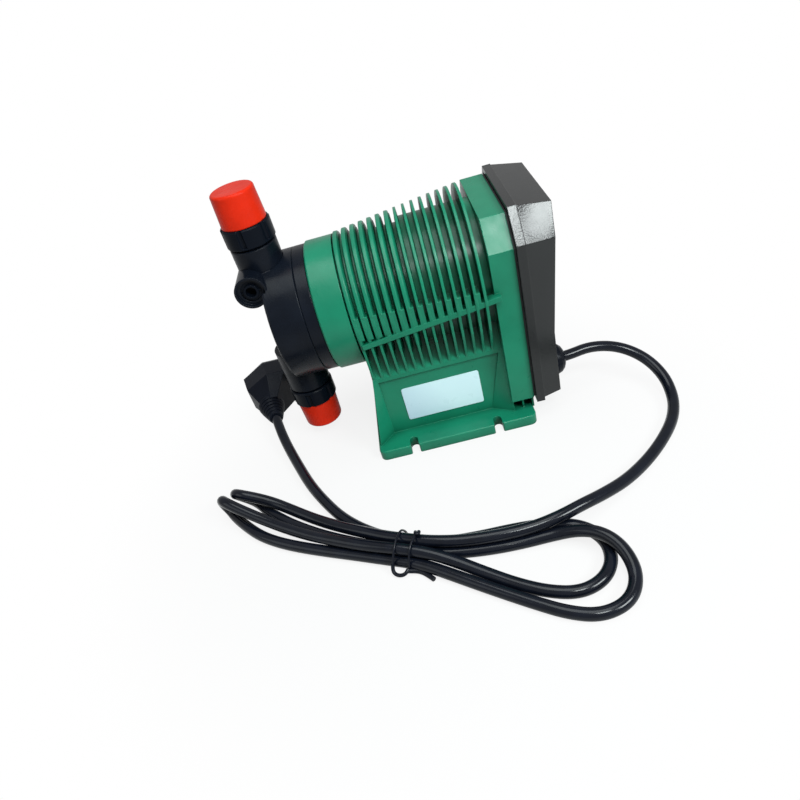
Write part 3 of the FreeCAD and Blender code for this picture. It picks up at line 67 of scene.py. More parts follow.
# The power cord's route, in millimetres, from the gland through the hank to the plug.
CORD_ROUTE = [
    (74.0, -27.0, 27.2), (82.8, -27.0, 27.2), (99.9, -22.4, 26.8), (117.2, -25.1, 23.3),
    (130.8, -34.8, 17.1), (137.9, -49.6, 10.1), (137.2, -66.6, 4.6), (130.6, -82.6, 3.6),
    (119.4, -97.2, 3.6), (104.8, -111.6, 3.6), (87.2, -125.1, 5.0), (70.5, -134.2, 8.0),
    (57.0, -140.1, 10.4), (43.8, -145.1, 10.9), (27.6, -148.1, 10.4), (8.0, -148.0, 10.3),
    (-11.7, -145.6, 10.2), (-28.6, -140.9, 10.3), (-42.0, -134.9, 10.1), (-53.4, -129.4, 9.9),
    (-64.2, -122.8, 9.3), (-76.1, -114.4, 7.7), (-88.5, -105.0, 5.9), (-101.0, -95.3, 5.6),
    (-112.9, -86.3, 7.1), (-124.0, -79.3, 10.2), (-134.6, -75.7, 14.4), (-145.1, -72.6, 17.8),
    (-149.7, -67.2, 14.4), (-149.0, -63.8, 9.2), (-144.2, -63.6, 4.3), (-137.2, -69.1, 3.6),
    (-129.0, -80.3, 4.0), (-117.2, -92.4, 3.8), (-104.1, -103.1, 3.6), (-90.4, -112.8, 3.6),
    (-75.2, -122.0, 3.6), (-59.9, -130.2, 3.6), (-44.0, -137.9, 3.6), (-29.7, -143.6, 3.6),
    (-13.0, -148.0, 3.6), (4.9, -150.4, 3.6), (22.1, -151.0, 3.6), (37.8, -151.8, 5.3),
    (50.2, -155.3, 9.0), (60.3, -162.3, 11.5), (67.4, -172.1, 9.6), (69.6, -184.5, 5.6),
    (65.3, -195.4, 4.0), (56.8, -201.9, 3.6), (44.5, -203.7, 3.6), (31.2, -198.5, 3.6),
    (17.8, -189.5, 3.6), (3.5, -179.2, 3.6), (-10.8, -168.5, 3.6), (-24.3, -158.2, 3.6),
    (-36.0, -149.7, 3.6), (-46.4, -144.6, 3.6), (-58.3, -139.2, 3.6), (-73.2, -132.2, 3.6),
    (-90.3, -124.5, 3.6), (-107.7, -116.1, 3.6), (-122.4, -107.7, 3.7), (-134.2, -98.7, 3.9),
    (-144.4, -87.5, 4.2), (-152.1, -77.4, 3.6), (-155.3, -72.3, 5.6), (-157.5, -71.1, 11.1),
    (-156.4, -73.7, 17.5), (-152.1, -79.7, 19.8), (-141.9, -86.4, 16.0), (-128.7, -94.1, 11.3),
    (-115.0, -102.9, 8.6), (-101.2, -112.1, 8.2), (-88.4, -120.3, 9.2), (-75.8, -127.6, 10.2),
    (-61.7, -134.6, 10.3), (-45.2, -141.5, 10.3), (-29.9, -148.0, 9.2), (-15.4, -156.5, 6.5),
    (-1.3, -166.6, 4.2), (12.4, -176.8, 3.6), (26.2, -185.0, 3.6), (40.1, -189.2, 3.6),
    (52.2, -185.8, 3.6), (59.9, -177.7, 3.6), (62.7, -167.0, 3.6), (60.1, -156.6, 3.6),
    (52.9, -148.6, 3.6), (43.1, -144.2, 3.6), (31.0, -141.5, 3.6), (16.7, -140.4, 3.6),
    (0.1, -140.2, 3.6), (-15.7, -139.1, 3.6), (-29.0, -136.0, 3.6), (-40.8, -131.3, 3.6),
    (-51.9, -125.9, 3.6), (-61.8, -118.9, 3.6), (-71.4, -110.4, 3.6), (-80.9, -99.7, 3.6),
    (-90.5, -84.8, 3.6), (-101.0, -65.5, 3.6), (-111.0, -40.5, 3.6), (-119.0, -19.5, 6.0),
    (-123.6, -4.5, 10.5), (-126.0, 6.0, 13.0),
]

# The way the plug's pins point, and how far along it their black sleeves reach.
PIN_DIRECTION = (0.9632, 0.2689, 0.0)
PIN_SLEEVE_END = -0.0950

CAMERA_PLACE = (0.000290, -0.375948, 0.281668)
CAMERA_RIGHT = (0.96695869, -0.0913442, -0.23800657)
CAMERA_UP = (0.24108983, 0.63111758, 0.73726948)
CAMERA_FORWARD = (-0.08286484, 0.7702901, -0.63228679)
CAMERA_LENS = 28.859
CAMERA_SHIFT = (-0.00285, 0.04416)

# The soft lights, in metres and watts: name, place, where it aims, width and height, power.
LIGHTS = (
    ("top_light", (0.0, -0.10, 1.10), (0.0, -0.05, 0.05), (0.70, 0.70), 6.4),
    ("key_light", (0.15, -0.56, 0.82), (0.03, -0.04, 0.13), (0.24, 0.18), 4.0),
    ("side_light", (0.57, -0.56, 0.58), (0.07, -0.04, 0.13), (0.36, 0.27), 7.4),
    ("fill_light", (-0.75, -0.35, 0.50), (-0.05, 0.0, 0.09), (0.50, 0.50), 1.0),
)
LIGHT_TINT = (0.93, 1.0, 1.0)

# How brightly the white room lights matt surfaces, and how much of it glossy ones mirror.
ROOM_LIGHT = 0.16
GLOSS_SHARE = 0.45

# The floor's paper goes to plain white over these distances from its middle, in metres.
FLOOR_MIDDLE = (-0.02, -0.08, 0.0)
FLOOR_FADE = (0.08, 0.25)
FLOOR_WHITE = (0.84, 1.0)


class PumpColours(bpy.types.PropertyGroup):
    """The colours of the pump's finishes."""

    casing: FloatVectorProperty(
        name="Casing", description="Paint on the cast housing", subtype="COLOR",
        size=3, min=0.0, max=1.0, default=(0.0055, 0.160, 0.088))
    cover: FloatVectorProperty(
        name="Rear cover", description="Grained plastic of the rear cover", subtype="COLOR",
        size=3, min=0.0, max=1.0, default=(0.008, 0.009, 0.0095))
    head: FloatVectorProperty(
        name="Pump head", description="Moulded plastic of the head and valves", subtype="COLOR",
        size=3, min=0.0, max=1.0, default=(0.0030, 0.0046, 0.0085))
    caps: FloatVectorProperty(
        name="Caps", description="Soft plastic of the protective caps", subtype="COLOR",
        size=3, min=0.0, max=1.0, default=(0.56, 0.019, 0.005))
    cord: FloatVectorProperty(
        name="Cord", description="Sheath of the power cord", subtype="COLOR",
        size=3, min=0.0, max=1.0, default=(0.0035, 0.0048, 0.0090))
    label: FloatVectorProperty(
        name="Name plate", description="Bare face of the name plate", subtype="COLOR",
        size=3, min=0.0, max=1.0, default=(0.56, 0.75, 0.79))
    floor: FloatVectorProperty(
        name="Floor", description="Pale floor under the pump", subtype="COLOR",
        size=3, min=0.0, max=1.0, default=(0.56, 0.56, 0.56))


class PumpSizes(bpy.types.PropertyGroup):
    """The sizes of the pieces that are made here."""

    cord_diameter: FloatProperty(
        name="Cord diameter", description="Thickness of the power cord",
        default=0.007, min=0.004, max=0.012, unit="LENGTH", subtype="DISTANCE")
    tie_wire: FloatProperty(
        name="Tie wire", description="Thickness of the covered wire round the hank",
        default=0.0013, min=0.0006, max=0.003, unit="LENGTH", subtype="DISTANCE")
    floor_width: FloatProperty(
        name="Floor width", description="Side of the square floor",
        default=14.0, min=2.0, max=40.0, unit="LENGTH", subtype="DISTANCE")


# Shader node groups

def new_group(name, inputs, outputs):
    """An empty node group with these sockets, and its two ends."""
    group = bpy.data.node_groups.new(name, "ShaderNodeTree")
    for label, kind, value in inputs:
        socket = group.interface.new_socket(name=label, in_out="INPUT", socket_type=kind)
        if value is not None:
            socket.default_value = value
    for label, kind in outputs:
        group.interface.new_socket(name=label, in_out="OUTPUT", socket_type=kind)
    entry = group.nodes.new("NodeGroupInput")
    leave = group.nodes.new("NodeGroupOutput")
    return group, entry, leave


def add(tree, kind, **values):
    """A new node, with its settings or its sockets filled in by name."""
    node = tree.nodes.new(kind)
    for key, value in values.items():
        if hasattr(node, key):
            setattr(node, key, value)
        else:
            node.inputs[key.replace("_", " ").title()].default_value = value
    return node


def link(tree, source, output, target, socket):
    """Join a node's output to another node's socket."""
    tree.links.new(source.outputs[output], target.inputs[socket])


def tone_drift():
    """Colour that drifts slowly between two near tones, as in paint or moulded plastic."""
    group, entry, leave = new_group(
        "Tone Drift",
        [("Vector", "NodeSocketVector", None), ("Scale", "NodeSocketFloat", 60.0),
         ("Tone A", "NodeSocketColor", None), ("Tone B", "NodeSocketColor", None)],
        [("Color", "NodeSocketColor")])
    noise = add(group, "ShaderNodeTexNoise", detail=3.0, roughness=0.55)
    spread = add(group, "ShaderNodeMapRange")
    spread.inputs["From Min"].default_value = 0.32
    spread.inputs["From Max"].default_value = 0.68
    mix = add(group, "ShaderNodeMix", data_type="RGBA")
    link(group, entry, "Vector", noise, "Vector")
    link(group, entry, "Scale", noise, "Scale")
    link(group, noise, "Fac", spread, "Value")
    group.links.new(spread.outputs["Result"], mix.inputs[0])
    group.links.new(entry.outputs["Tone A"], mix.inputs[6])
    group.links.new(entry.outputs["Tone B"], mix.inputs[7])
    group.links.new(mix.outputs[2], leave.inputs["Color"])
    return group


def handled_gloss():
    """Roughness that changes in patches, as where hands and tools have polished a surface."""
    group, entry, leave = new_group(
        "Handled Gloss",
        [("Vector", "NodeSocketVector", None), ("Scale", "NodeSocketFloat", 90.0),
         ("Smooth", "NodeSocketFloat", 0.3), ("Rough", "NodeSocketFloat", 0.5)],
        [("Roughness", "NodeSocketFloat")])
    noise = add(group, "ShaderNodeTexNoise", detail=4.0, roughness=0.6, distortion=0.4)
    spread = add(group, "ShaderNodeMapRange")
    spread.inputs["From Min"].default_value = 0.3
    spread.inputs["From Max"].default_value = 0.7
    link(group, entry, "Vector", noise, "Vector")
    link(group, entry, "Scale", noise, "Scale")
    link(group, noise, "Fac", spread, "Value")
    link(group, entry, "Smooth", spread, "To Min")
    link(group, entry, "Rough", spread, "To Max")
    link(group, spread, "Result", leave, "Roughness")
    return group


def surface_grain():
    """Height of a fine pebbled grain over a soft orange peel."""
    group, entry, leave = new_group(
        "Surface Grain",
        [("Vector", "NodeSocketVector", None), ("Pebble Scale", "NodeSocketFloat", 900.0),
         ("Peel Scale", "NodeSocketFloat", 300.0), ("Pebble", "NodeSocketFloat", 0.5),
         ("Peel", "NodeSocketFloat", 0.5)],
        [("Height", "NodeSocketFloat")])
    cells = add(group, "ShaderNodeTexVoronoi", feature="SMOOTH_F1")
    peel = add(group, "ShaderNodeTexNoise", detail=2.0, roughness=0.5)
    pebble_part = add(group, "ShaderNodeMath", operation="MULTIPLY")
    peel_part = add(group, "ShaderNodeMath", operation="MULTIPLY")
    total = add(group, "ShaderNodeMath", operation="ADD")
    link(group, entry, "Vector", cells, "Vector")
    link(group, entry, "Vector", peel, "Vector")
    link(group, entry, "Pebble Scale", cells, "Scale")
    link(group, entry, "Peel Scale", peel, "Scale")
    link(group, cells, "Distance", pebble_part, 0)
    link(group, entry, "Pebble", pebble_part, 1)
    link(group, peel, "Fac", peel_part, 0)
    link(group, entry, "Peel", peel_part, 1)
    link(group, pebble_part, "Value", total, 0)
    link(group, peel_part, "Value", total, 1)
    link(group, total, "Value", leave, "Height")
    return group


def rounded_edge():
    """Normal that rounds sharp edges off and a mask of where they are."""
    group, entry, leave = new_group(
        "Rounded Edge",
        [("Radius", "NodeSocketFloat", 0.0006), ("Height", "NodeSocketFloat", 0.0),
         ("Depth", "NodeSocketFloat", 0.00005)],
        [("Normal", "NodeSocketVector"), ("Edge", "NodeSocketFloat")])
    bevel = add(group, "ShaderNodeBevel", samples=6)
    bump = add(group, "ShaderNodeBump")
    bump.inputs["Strength"].default_value = 1.0
    plain = add(group, "ShaderNodeNewGeometry")
    dot = add(group, "ShaderNodeVectorMath", operation="DOT_PRODUCT")
    mask = add(group, "ShaderNodeMapRange")
    mask.inputs["From Min"].default_value = 0.98
    mask.inputs["From Max"].default_value = 0.80
    link(group, entry, "Radius", bevel, "Radius")
    link(group, bevel, "Normal", bump, "Normal")
    link(group, entry, "Height", bump, "Height")
    link(group, entry, "Depth", bump, "Distance")
    link(group, bevel, "Normal", dot, 0)
    link(group, plain, "Normal", dot, 1)
    link(group, dot, "Value", mask, "Value")
    link(group, bump, "Normal", leave, "Normal")
    link(group, mask, "Result", leave, "Edge")
    return group


def painted_gap_shade():
    """Colour that darkens down in narrow gaps, as painted shade."""
    group, entry, leave = new_group(
        "Painted Gap Shade",
        [("Color", "NodeSocketColor", None), ("Depth", "NodeSocketFloat", 0.008),
         ("Amount", "NodeSocketFloat", 0.6)],
        [("Color", "NodeSocketColor")])
    reach = add(group, "ShaderNodeAmbientOcclusion", samples=6)
    gap_shade_mask = add(group, "ShaderNodeMapRange")
    gap_shade_mask.inputs["From Min"].default_value = 0.75
    gap_shade_mask.inputs["From Max"].default_value = 0.15
    share = add(group, "ShaderNodeMath", operation="MULTIPLY")
    mix = add(group, "ShaderNodeMix", data_type="RGBA", blend_type="MULTIPLY")
    # The dark tint of the painted shade in the gaps.
    mix.inputs[7].default_value = (0.10, 0.24, 0.18, 1.0)
    link(group, entry, "Depth", reach, "Distance")
    link(group, reach, "AO", gap_shade_mask, "Value")
    link(group, gap_shade_mask, "Result", share, 0)
    link(group, entry, "Amount", share, 1)
    group.links.new(share.outputs[0], mix.inputs[0])
    group.links.new(entry.outputs["Color"], mix.inputs[6])
    group.links.new(mix.outputs[2], leave.inputs["Color"])
    return group


# Each node group is made once, when a material first asks for it.
GROUPS = {}


def place_group(tree, make, **values):
    """A node of the group that make builds, with its sockets filled in by name."""
    if make not in GROUPS:
        GROUPS[make] = make()
    node = tree.nodes.new("ShaderNodeGroup")
    node.node_tree = GROUPS[make]
    for key, value in values.items():
        node.inputs[key.replace("_", " ").title()].default_value = value
    return node


def shade(colour, factor):
    """The same colour, lighter or darker."""
    return tuple(min(1.0, part * factor) for part in colour[:3]) + (1.0,)


def new_material(name):
    """A material with its node tree, its shader and a node of coordinates."""
    material = bpy.data.materials.new(name)
    material.use_nodes = True
    tree = material.node_tree
    shader = tree.nodes["Principled BSDF"]
    place = tree.nodes.new("ShaderNodeTexCoord")
    return material, tree, shader, place


def surface(
    name, colour, smooth, rough, *, drift=0.12, drift_scale=45.0, gloss_scale=80.0,
    pebble_scale=1400.0, peel_scale=260.0, pebble=0.0, peel=1.0, depth=0.00004,
    metallic=0.0, coat=0.0, specular=0.5, edge=0.0, edge_highlight=0.0, corner=0.0,
):
    """A painted, moulded or turned surface: drifting tone, patchy gloss, grain and soft edges, with a
    painted highlight along the edges and painted shade in narrow gaps where these are asked for.
    """
    material, tree, shader, place = new_material(name)
    tone = place_group(
        tree, tone_drift, scale=drift_scale, tone_a=shade(colour, 1 - drift),
        tone_b=shade(colour, 1 + drift))
    gloss = place_group(tree, handled_gloss, scale=gloss_scale, smooth=smooth, rough=rough)
    grain = place_group(
        tree, surface_grain, pebble_scale=pebble_scale, peel_scale=peel_scale, pebble=pebble, peel=peel)
    for node in (tone, gloss, grain):
        link(tree, place, "Object", node, "Vector")
    link(tree, gloss, "Roughness", shader, "Roughness")
    # Painted shade: the colour darkens in narrow gaps, by the given amount.
    if corner:
        gap_shaded = place_group(tree, painted_gap_shade, depth=0.009, amount=corner)
        link(tree, tone, "Color", gap_shaded, "Color")
        tone = gap_shaded
    if edge:
        soft = place_group(tree, rounded_edge, radius=edge, depth=depth)
        link(tree, grain, "Height", soft, "Height")
        link(tree, soft, "Normal", shader, "Normal")
        # Painted highlight: the colour goes lighter along the rounded edges, by the edge highlight
        # share.
        edge_highlight_mix = add(tree, "ShaderNodeMix", data_type="RGBA")
        amount = add(tree, "ShaderNodeMath", operation="MULTIPLY")
        amount.inputs[1].default_value = edge_highlight
        link(tree, soft, "Edge", amount, 0)
        tree.links.new(amount.outputs[0], edge_highlight_mix.inputs[0])
        tree.links.new(tone.outputs["Color"], edge_highlight_mix.inputs[6])
        edge_highlight_mix.inputs[7].default_value = shade(colour, 1.9)
        tree.links.new(edge_highlight_mix.outputs[2], shader.inputs["Base Color"])
    else:
        bump = add(tree, "ShaderNodeBump")
        bump.inputs["Distance"].default_value = depth
        link(tree, grain, "Height", bump, "Height")
        link(tree, bump, "Normal", shader, "Normal")
        link(tree, tone, "Color", shader, "Base Color")
    shader.inputs["Metallic"].default_value = metallic
    shader.inputs["Coat Weight"].default_value = coat
    shader.inputs["Coat Roughness"].default_value = 0.2
    shader.inputs["Specular IOR Level"].default_value = specular
    return material


# Finishes. Where a finish sets an edge highlight, its rounded edges carry a painted highlight.

def colours():
    """The colours set in the side panel."""
    return bpy.context.scene.pump_colours


def casing_paint():
    # Painted shade darkens the gaps between the casing's fins, and a painted highlight lightens its
    # edges.
    return surface(
        "casing_paint", colours().casing, 0.26, 0.36, drift=0.10, drift_scale=38.0, pebble=0.15,
        peel=1.0, peel_scale=420.0, depth=0.00005, specular=0.25, edge=0.0007, edge_highlight=0.35,
        corner=0.95)


def cover_plastic():
    return surface(
        "cover_plastic", colours().cover, 0.15, 0.24, drift=0.10, pebble=1.0, pebble_scale=1500.0,
        peel=0.3, depth=0.00004, specular=0.40, edge=0.0007, edge_highlight=0.3)


def head_plastic():
    return surface(
        "head_plastic", colours().head, 0.22, 0.34, drift=0.20, drift_scale=70.0, peel=1.0,
        peel_scale=180.0, depth=0.00007, specular=0.12, edge=0.0006, edge_highlight=0.6)


def nut_plastic():
    return surface(
        "nut_plastic", shade(colours().head, 0.9), 0.18, 0.28, drift=0.2, peel=1.0,
        depth=0.00004, specular=0.06, edge=0.0005, edge_highlight=0.6)


def cap_plastic():
    return surface(
        "cap_plastic", colours().caps, 0.22, 0.34, drift=0.09, drift_scale=55.0, peel=1.0,
        peel_scale=110.0, depth=0.00030, specular=0.07, edge=0.0012, edge_highlight=0.08)


def cord_sheath():
    return surface(
        "cord_sheath", colours().cord, 0.12, 0.20, drift=0.25, drift_scale=120.0,
        gloss_scale=160.0, peel=0.6, peel_scale=420.0, depth=0.00001, specular=0.24)


def plug_plastic():
    return surface(
        "plug_plastic", shade(colours().cord, 1.1), 0.30, 0.44, drift=0.2, pebble=0.6,
        pebble_scale=1800.0, peel=0.8, depth=0.00005, specular=0.08, edge=0.0006, edge_highlight=0.5)


def plate_face():
    """A bare printed plate that goes from white to a pale blue towards its lower corner."""
    material, tree, shader, place = new_material("plate_face")
    low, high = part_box("name_plate")
    turn = add(tree, "ShaderNodeMapping")
    turn.inputs["Location"].default_value = (-low.x, 0.0, -low.z)
    split = add(tree, "ShaderNodeSeparateXYZ")
    link(tree, place, "Object", turn, "Vector")
    link(tree, turn, "Vector", split, "Vector")
    along = add(tree, "ShaderNodeMath", operation="DIVIDE")
    along.inputs[1].default_value = high.x - low.x
    up = add(tree, "ShaderNodeMath", operation="DIVIDE")
    up.inputs[1].default_value = high.z - low.z
    link(tree, split, "X", along, 0)
    link(tree, split, "Z", up, 0)
    share = add(tree, "ShaderNodeMath", operation="MULTIPLY_ADD")
    share.inputs[1].default_value = 0.35
    link(tree, up, "Value", share, 0)
    link(tree, along, "Value", share, 2)
    ramp = add(tree, "ShaderNodeValToRGB")
    ramp.color_ramp.elements[0].position = 0.05
    ramp.color_ramp.elements[0].color = shade((0.42, 0.57, 0.66), 1.0)
    ramp.color_ramp.elements[1].position = 0.75
    ramp.color_ramp.elements[1].color = shade(colours().label, 1.0)
    link(tree, share, "Value", ramp, "Fac")
    link(tree, ramp, "Color", shader, "Base Color")
    gloss = place_group(tree, handled_gloss, scale=120.0, smooth=0.25, rough=0.38)
    link(tree, place, "Object", gloss, "Vector")
    link(tree, gloss, "Roughness", shader, "Roughness")
    return material


def sleeved_pin():
    """Bright brass pins whose roots stand in black sleeves."""
    material, tree, shader, place = new_material("sleeved_pin")
    along = add(tree, "ShaderNodeVectorMath", operation="DOT_PRODUCT")
    along.inputs[1].default_value = PIN_DIRECTION
    link(tree, place, "Object", along, 0)
    sleeve = add(tree, "ShaderNodeMath", operation="LESS_THAN")
    sleeve.inputs[1].default_value = PIN_SLEEVE_END
    link(tree, along, "Value", sleeve, 0)
    tone = place_group(
        tree, tone_drift, scale=90.0, tone_a=(0.60, 0.41, 0.14, 1.0), tone_b=(0.70, 0.50, 0.19, 1.0))
    link(tree, place, "Object", tone, "Vector")
    mix = add(tree, "ShaderNodeMix", data_type="RGBA")
    tree.links.new(sleeve.outputs[0], mix.inputs[0])
    tree.links.new(tone.outputs["Color"], mix.inputs[6])
    mix.inputs[7].default_value = shade(colours().cord, 1.1)
    tree.links.new(mix.outputs[2], shader.inputs["Base Color"])
    bare = add(tree, "ShaderNodeMath", operation="SUBTRACT")
    bare.inputs[0].default_value = 1.0
    link(tree, sleeve, "Value", bare, 1)
    link(tree, bare, "Value", shader, "Metallic")
    gloss = place_group(tree, handled_gloss, scale=150.0, smooth=0.22, rough=0.36)
    link(tree, place, "Object", gloss, "Vector")
    link(tree, gloss, "Roughness", shader, "Roughness")
    return material


def wound_copper():
    """Enamelled wire in close turns along the coil."""
    material, tree, shader, place = new_material("wound_copper")
    turns = add(tree, "ShaderNodeTexWave", wave_type="BANDS", bands_direction="X")
    turns.inputs["Scale"].default_value = 450.0
    turns.inputs["Distortion"].default_value = 0.6
    link(tree, place, "Object", turns, "Vector")
    ramp = add(tree, "ShaderNodeValToRGB")
    ramp.color_ramp.elements[0].color = (0.20, 0.055, 0.018, 1.0)
    ramp.color_ramp.elements[1].color = (0.62, 0.22, 0.085, 1.0)
    bump = add(tree, "ShaderNodeBump")
    bump.inputs["Distance"].default_value = 0.0002
    link(tree, turns, "Fac", ramp, "Fac")
    link(tree, turns, "Fac", bump, "Height")
    link(tree, ramp, "Color", shader, "Base Color")
    link(tree, bump, "Normal", shader, "Normal")
    gloss = place_group(tree, handled_gloss, scale=150.0, smooth=0.22, rough=0.35)
    link(tree, place, "Object", gloss, "Vector")
    link(tree, gloss, "Roughness", shader, "Roughness")
    shader.inputs["Metallic"].default_value = 0.8
    return material


def board_face():
    """Green solder mask over faint copper tracks."""
    material, tree, shader, place = new_material("board_face")
    tracks = add(tree, "ShaderNodeTexBrick")
    tracks.inputs["Scale"].default_value = 120.0
    tracks.inputs["Mortar Size"].default_value = 0.09
    tracks.inputs["Color1"].default_value = (0.010, 0.075, 0.026, 1.0)
    tracks.inputs["Color2"].default_value = (0.012, 0.090, 0.032, 1.0)
    tracks.inputs["Mortar"].default_value = (0.045, 0.190, 0.070, 1.0)
    turn = add(tree, "ShaderNodeMapping")
    turn.inputs["Rotation"].default_value = (0.0, math.radians(90.0), 0.0)
    link(tree, place, "Object", turn, "Vector")
    link(tree, turn, "Vector", tracks, "Vector")
    link(tree, tracks, "Color", shader, "Base Color")
    gloss = place_group(tree, handled_gloss, scale=90.0, smooth=0.25, rough=0.40)
    link(tree, place, "Object", gloss, "Vector")
    link(tree, gloss, "Roughness", shader, "Roughness")
    return material


def lens_plastic():
    """Clear red lens, its red drifting between two tones, under a glossy coat."""
    material, tree, shader, place = new_material("lens_plastic")
    tone = place_group(
        tree, tone_drift, scale=300.0, tone_a=(0.55, 0.012, 0.010, 1.0),
        tone_b=(0.80, 0.030, 0.020, 1.0))
    link(tree, place, "Object", tone, "Vector")
    link(tree, tone, "Color", shader, "Base Color")
    gloss = place_group(tree, handled_gloss, scale=300.0, smooth=0.08, rough=0.16)
    link(tree, place, "Object", gloss, "Vector")
    link(tree, gloss, "Roughness", shader, "Roughness")
    shader.inputs["Coat Weight"].default_value = 0.6
    return material


PLAIN_FINISHES = {
    "steel": (
        (0.56, 0.56, 0.55), 0.22, 0.38,
        dict(metallic=1.0, drift=0.06, peel_scale=900.0, depth=0.00001)),
    "soft_iron": ((0.30, 0.29, 0.28), 0.34, 0.52, dict(metallic=0.9, drift=0.12, depth=0.00002)),
    "brass": ((0.66, 0.46, 0.16), 0.20, 0.36, dict(metallic=1.0, drift=0.08, depth=0.00001)),
    "bobbin": ((0.68, 0.64, 0.54), 0.38, 0.52, dict(drift=0.05)),
    "fluoropolymer": ((0.80, 0.80, 0.78), 0.32, 0.46, dict(drift=0.03)),
    "ceramic": ((0.78, 0.76, 0.70), 0.12, 0.22, dict(drift=0.04, depth=0.00001)),
    "rubber_black": ((0.016, 0.016, 0.017), 0.58, 0.75, dict(drift=0.2, pebble=0.7, depth=0.00008)),
    "part_grey": ((0.16, 0.17, 0.19), 0.36, 0.52, dict(drift=0.10)),
    "panel_grey": ((0.20, 0.21, 0.22), 0.36, 0.50, dict(drift=0.05, pebble=0.5, depth=0.00004)),
    "knob_black": ((0.014, 0.014, 0.015), 0.34, 0.50, dict(drift=0.2, edge=0.0005, edge_highlight=0.3)),
    "rocker_red": ((0.52, 0.020, 0.014), 0.20, 0.34, dict(drift=0.06, edge=0.0006, edge_highlight=0.1)),
    "wire_tie": ((0.005, 0.006, 0.010), 0.16, 0.26, dict(drift=0.2, depth=0.00002, specular=0.15)),
    "dial_print": ((0.72, 0.73, 0.72), 0.42, 0.58, dict(drift=0.05, pebble=0.4, depth=0.00002)),
}

OWN_FINISHES = {
    "housing_green": casing_paint, "cover_charcoal": cover_plastic, "head_black": head_plastic,
    "nut_black": nut_plastic, "cap_orange": cap_plastic, "cord_black": cord_sheath,
    "plug_black": plug_plastic, "label_white": plate_face, "copper": wound_copper,
    "board_green": board_face, "lens_red": lens_plastic,
    "plug_pins": sleeved_pin,
}

MATERIALS = {}


def finish_of(slot):
    """The material of a slot in the record, made when it is first asked for."""
    if slot not in MATERIALS:
        if slot in OWN_FINISHES:
            MATERIALS[slot] = OWN_FINISHES[slot]()
        else:
            colour, smooth, rough, more = PLAIN_FINISHES[slot]
            MATERIALS[slot] = surface(slot, colour, smooth, rough, **more)
    return MATERIALS[slot]


def dress(*nodes, finish=None):
    """Give CAD nodes the finish of their slot, or the one named."""
    for name in nodes:
        node = frame["nodes"][name]
        material = finish_of(finish or SLOT_OF_NODE[name])
        if not node.material_slots:
            node.data.materials.append(material)
        for held in node.material_slots:
            held.material = material


def deselect():
    """Select nothing, so that the next operator acts on new pieces only."""
    for item in bpy.context.selected_objects:
        item.select_set(False)


def wear(piece, slot, body, finish=None):
    """Put the finish on a new piece, and let it ride on its body."""
    piece.data.materials.clear()
    piece.data.materials.append(finish_of(finish or slot))
    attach(piece, body)


def nurbs_line(name, points, radius):
    """A round wire on one open NURBS spline, its points in millimetres."""
    curve = bpy.data.curves.new(name, "CURVE")
    curve.dimensions = "3D"
    spline = curve.splines.new("NURBS")
    spline.points.add(len(points) - 1)
    for target, (x, y, z) in zip(spline.points, points):
        target.co = (x * MM, y * MM, z * MM, 1.0)
    spline.order_u = 3
    spline.use_endpoint_u = True
    spline.resolution_u = 8
    curve.bevel_depth = radius
    curve.bevel_resolution = 5
    curve.use_fill_caps = True
    piece = bpy.data.objects.new(name, curve)
    bpy.context.scene.collection.objects.link(piece)
    return piece


class PumpOperator:
    """What all of the pump's operators share."""

    bl_options = {"REGISTER", "UNDO"}


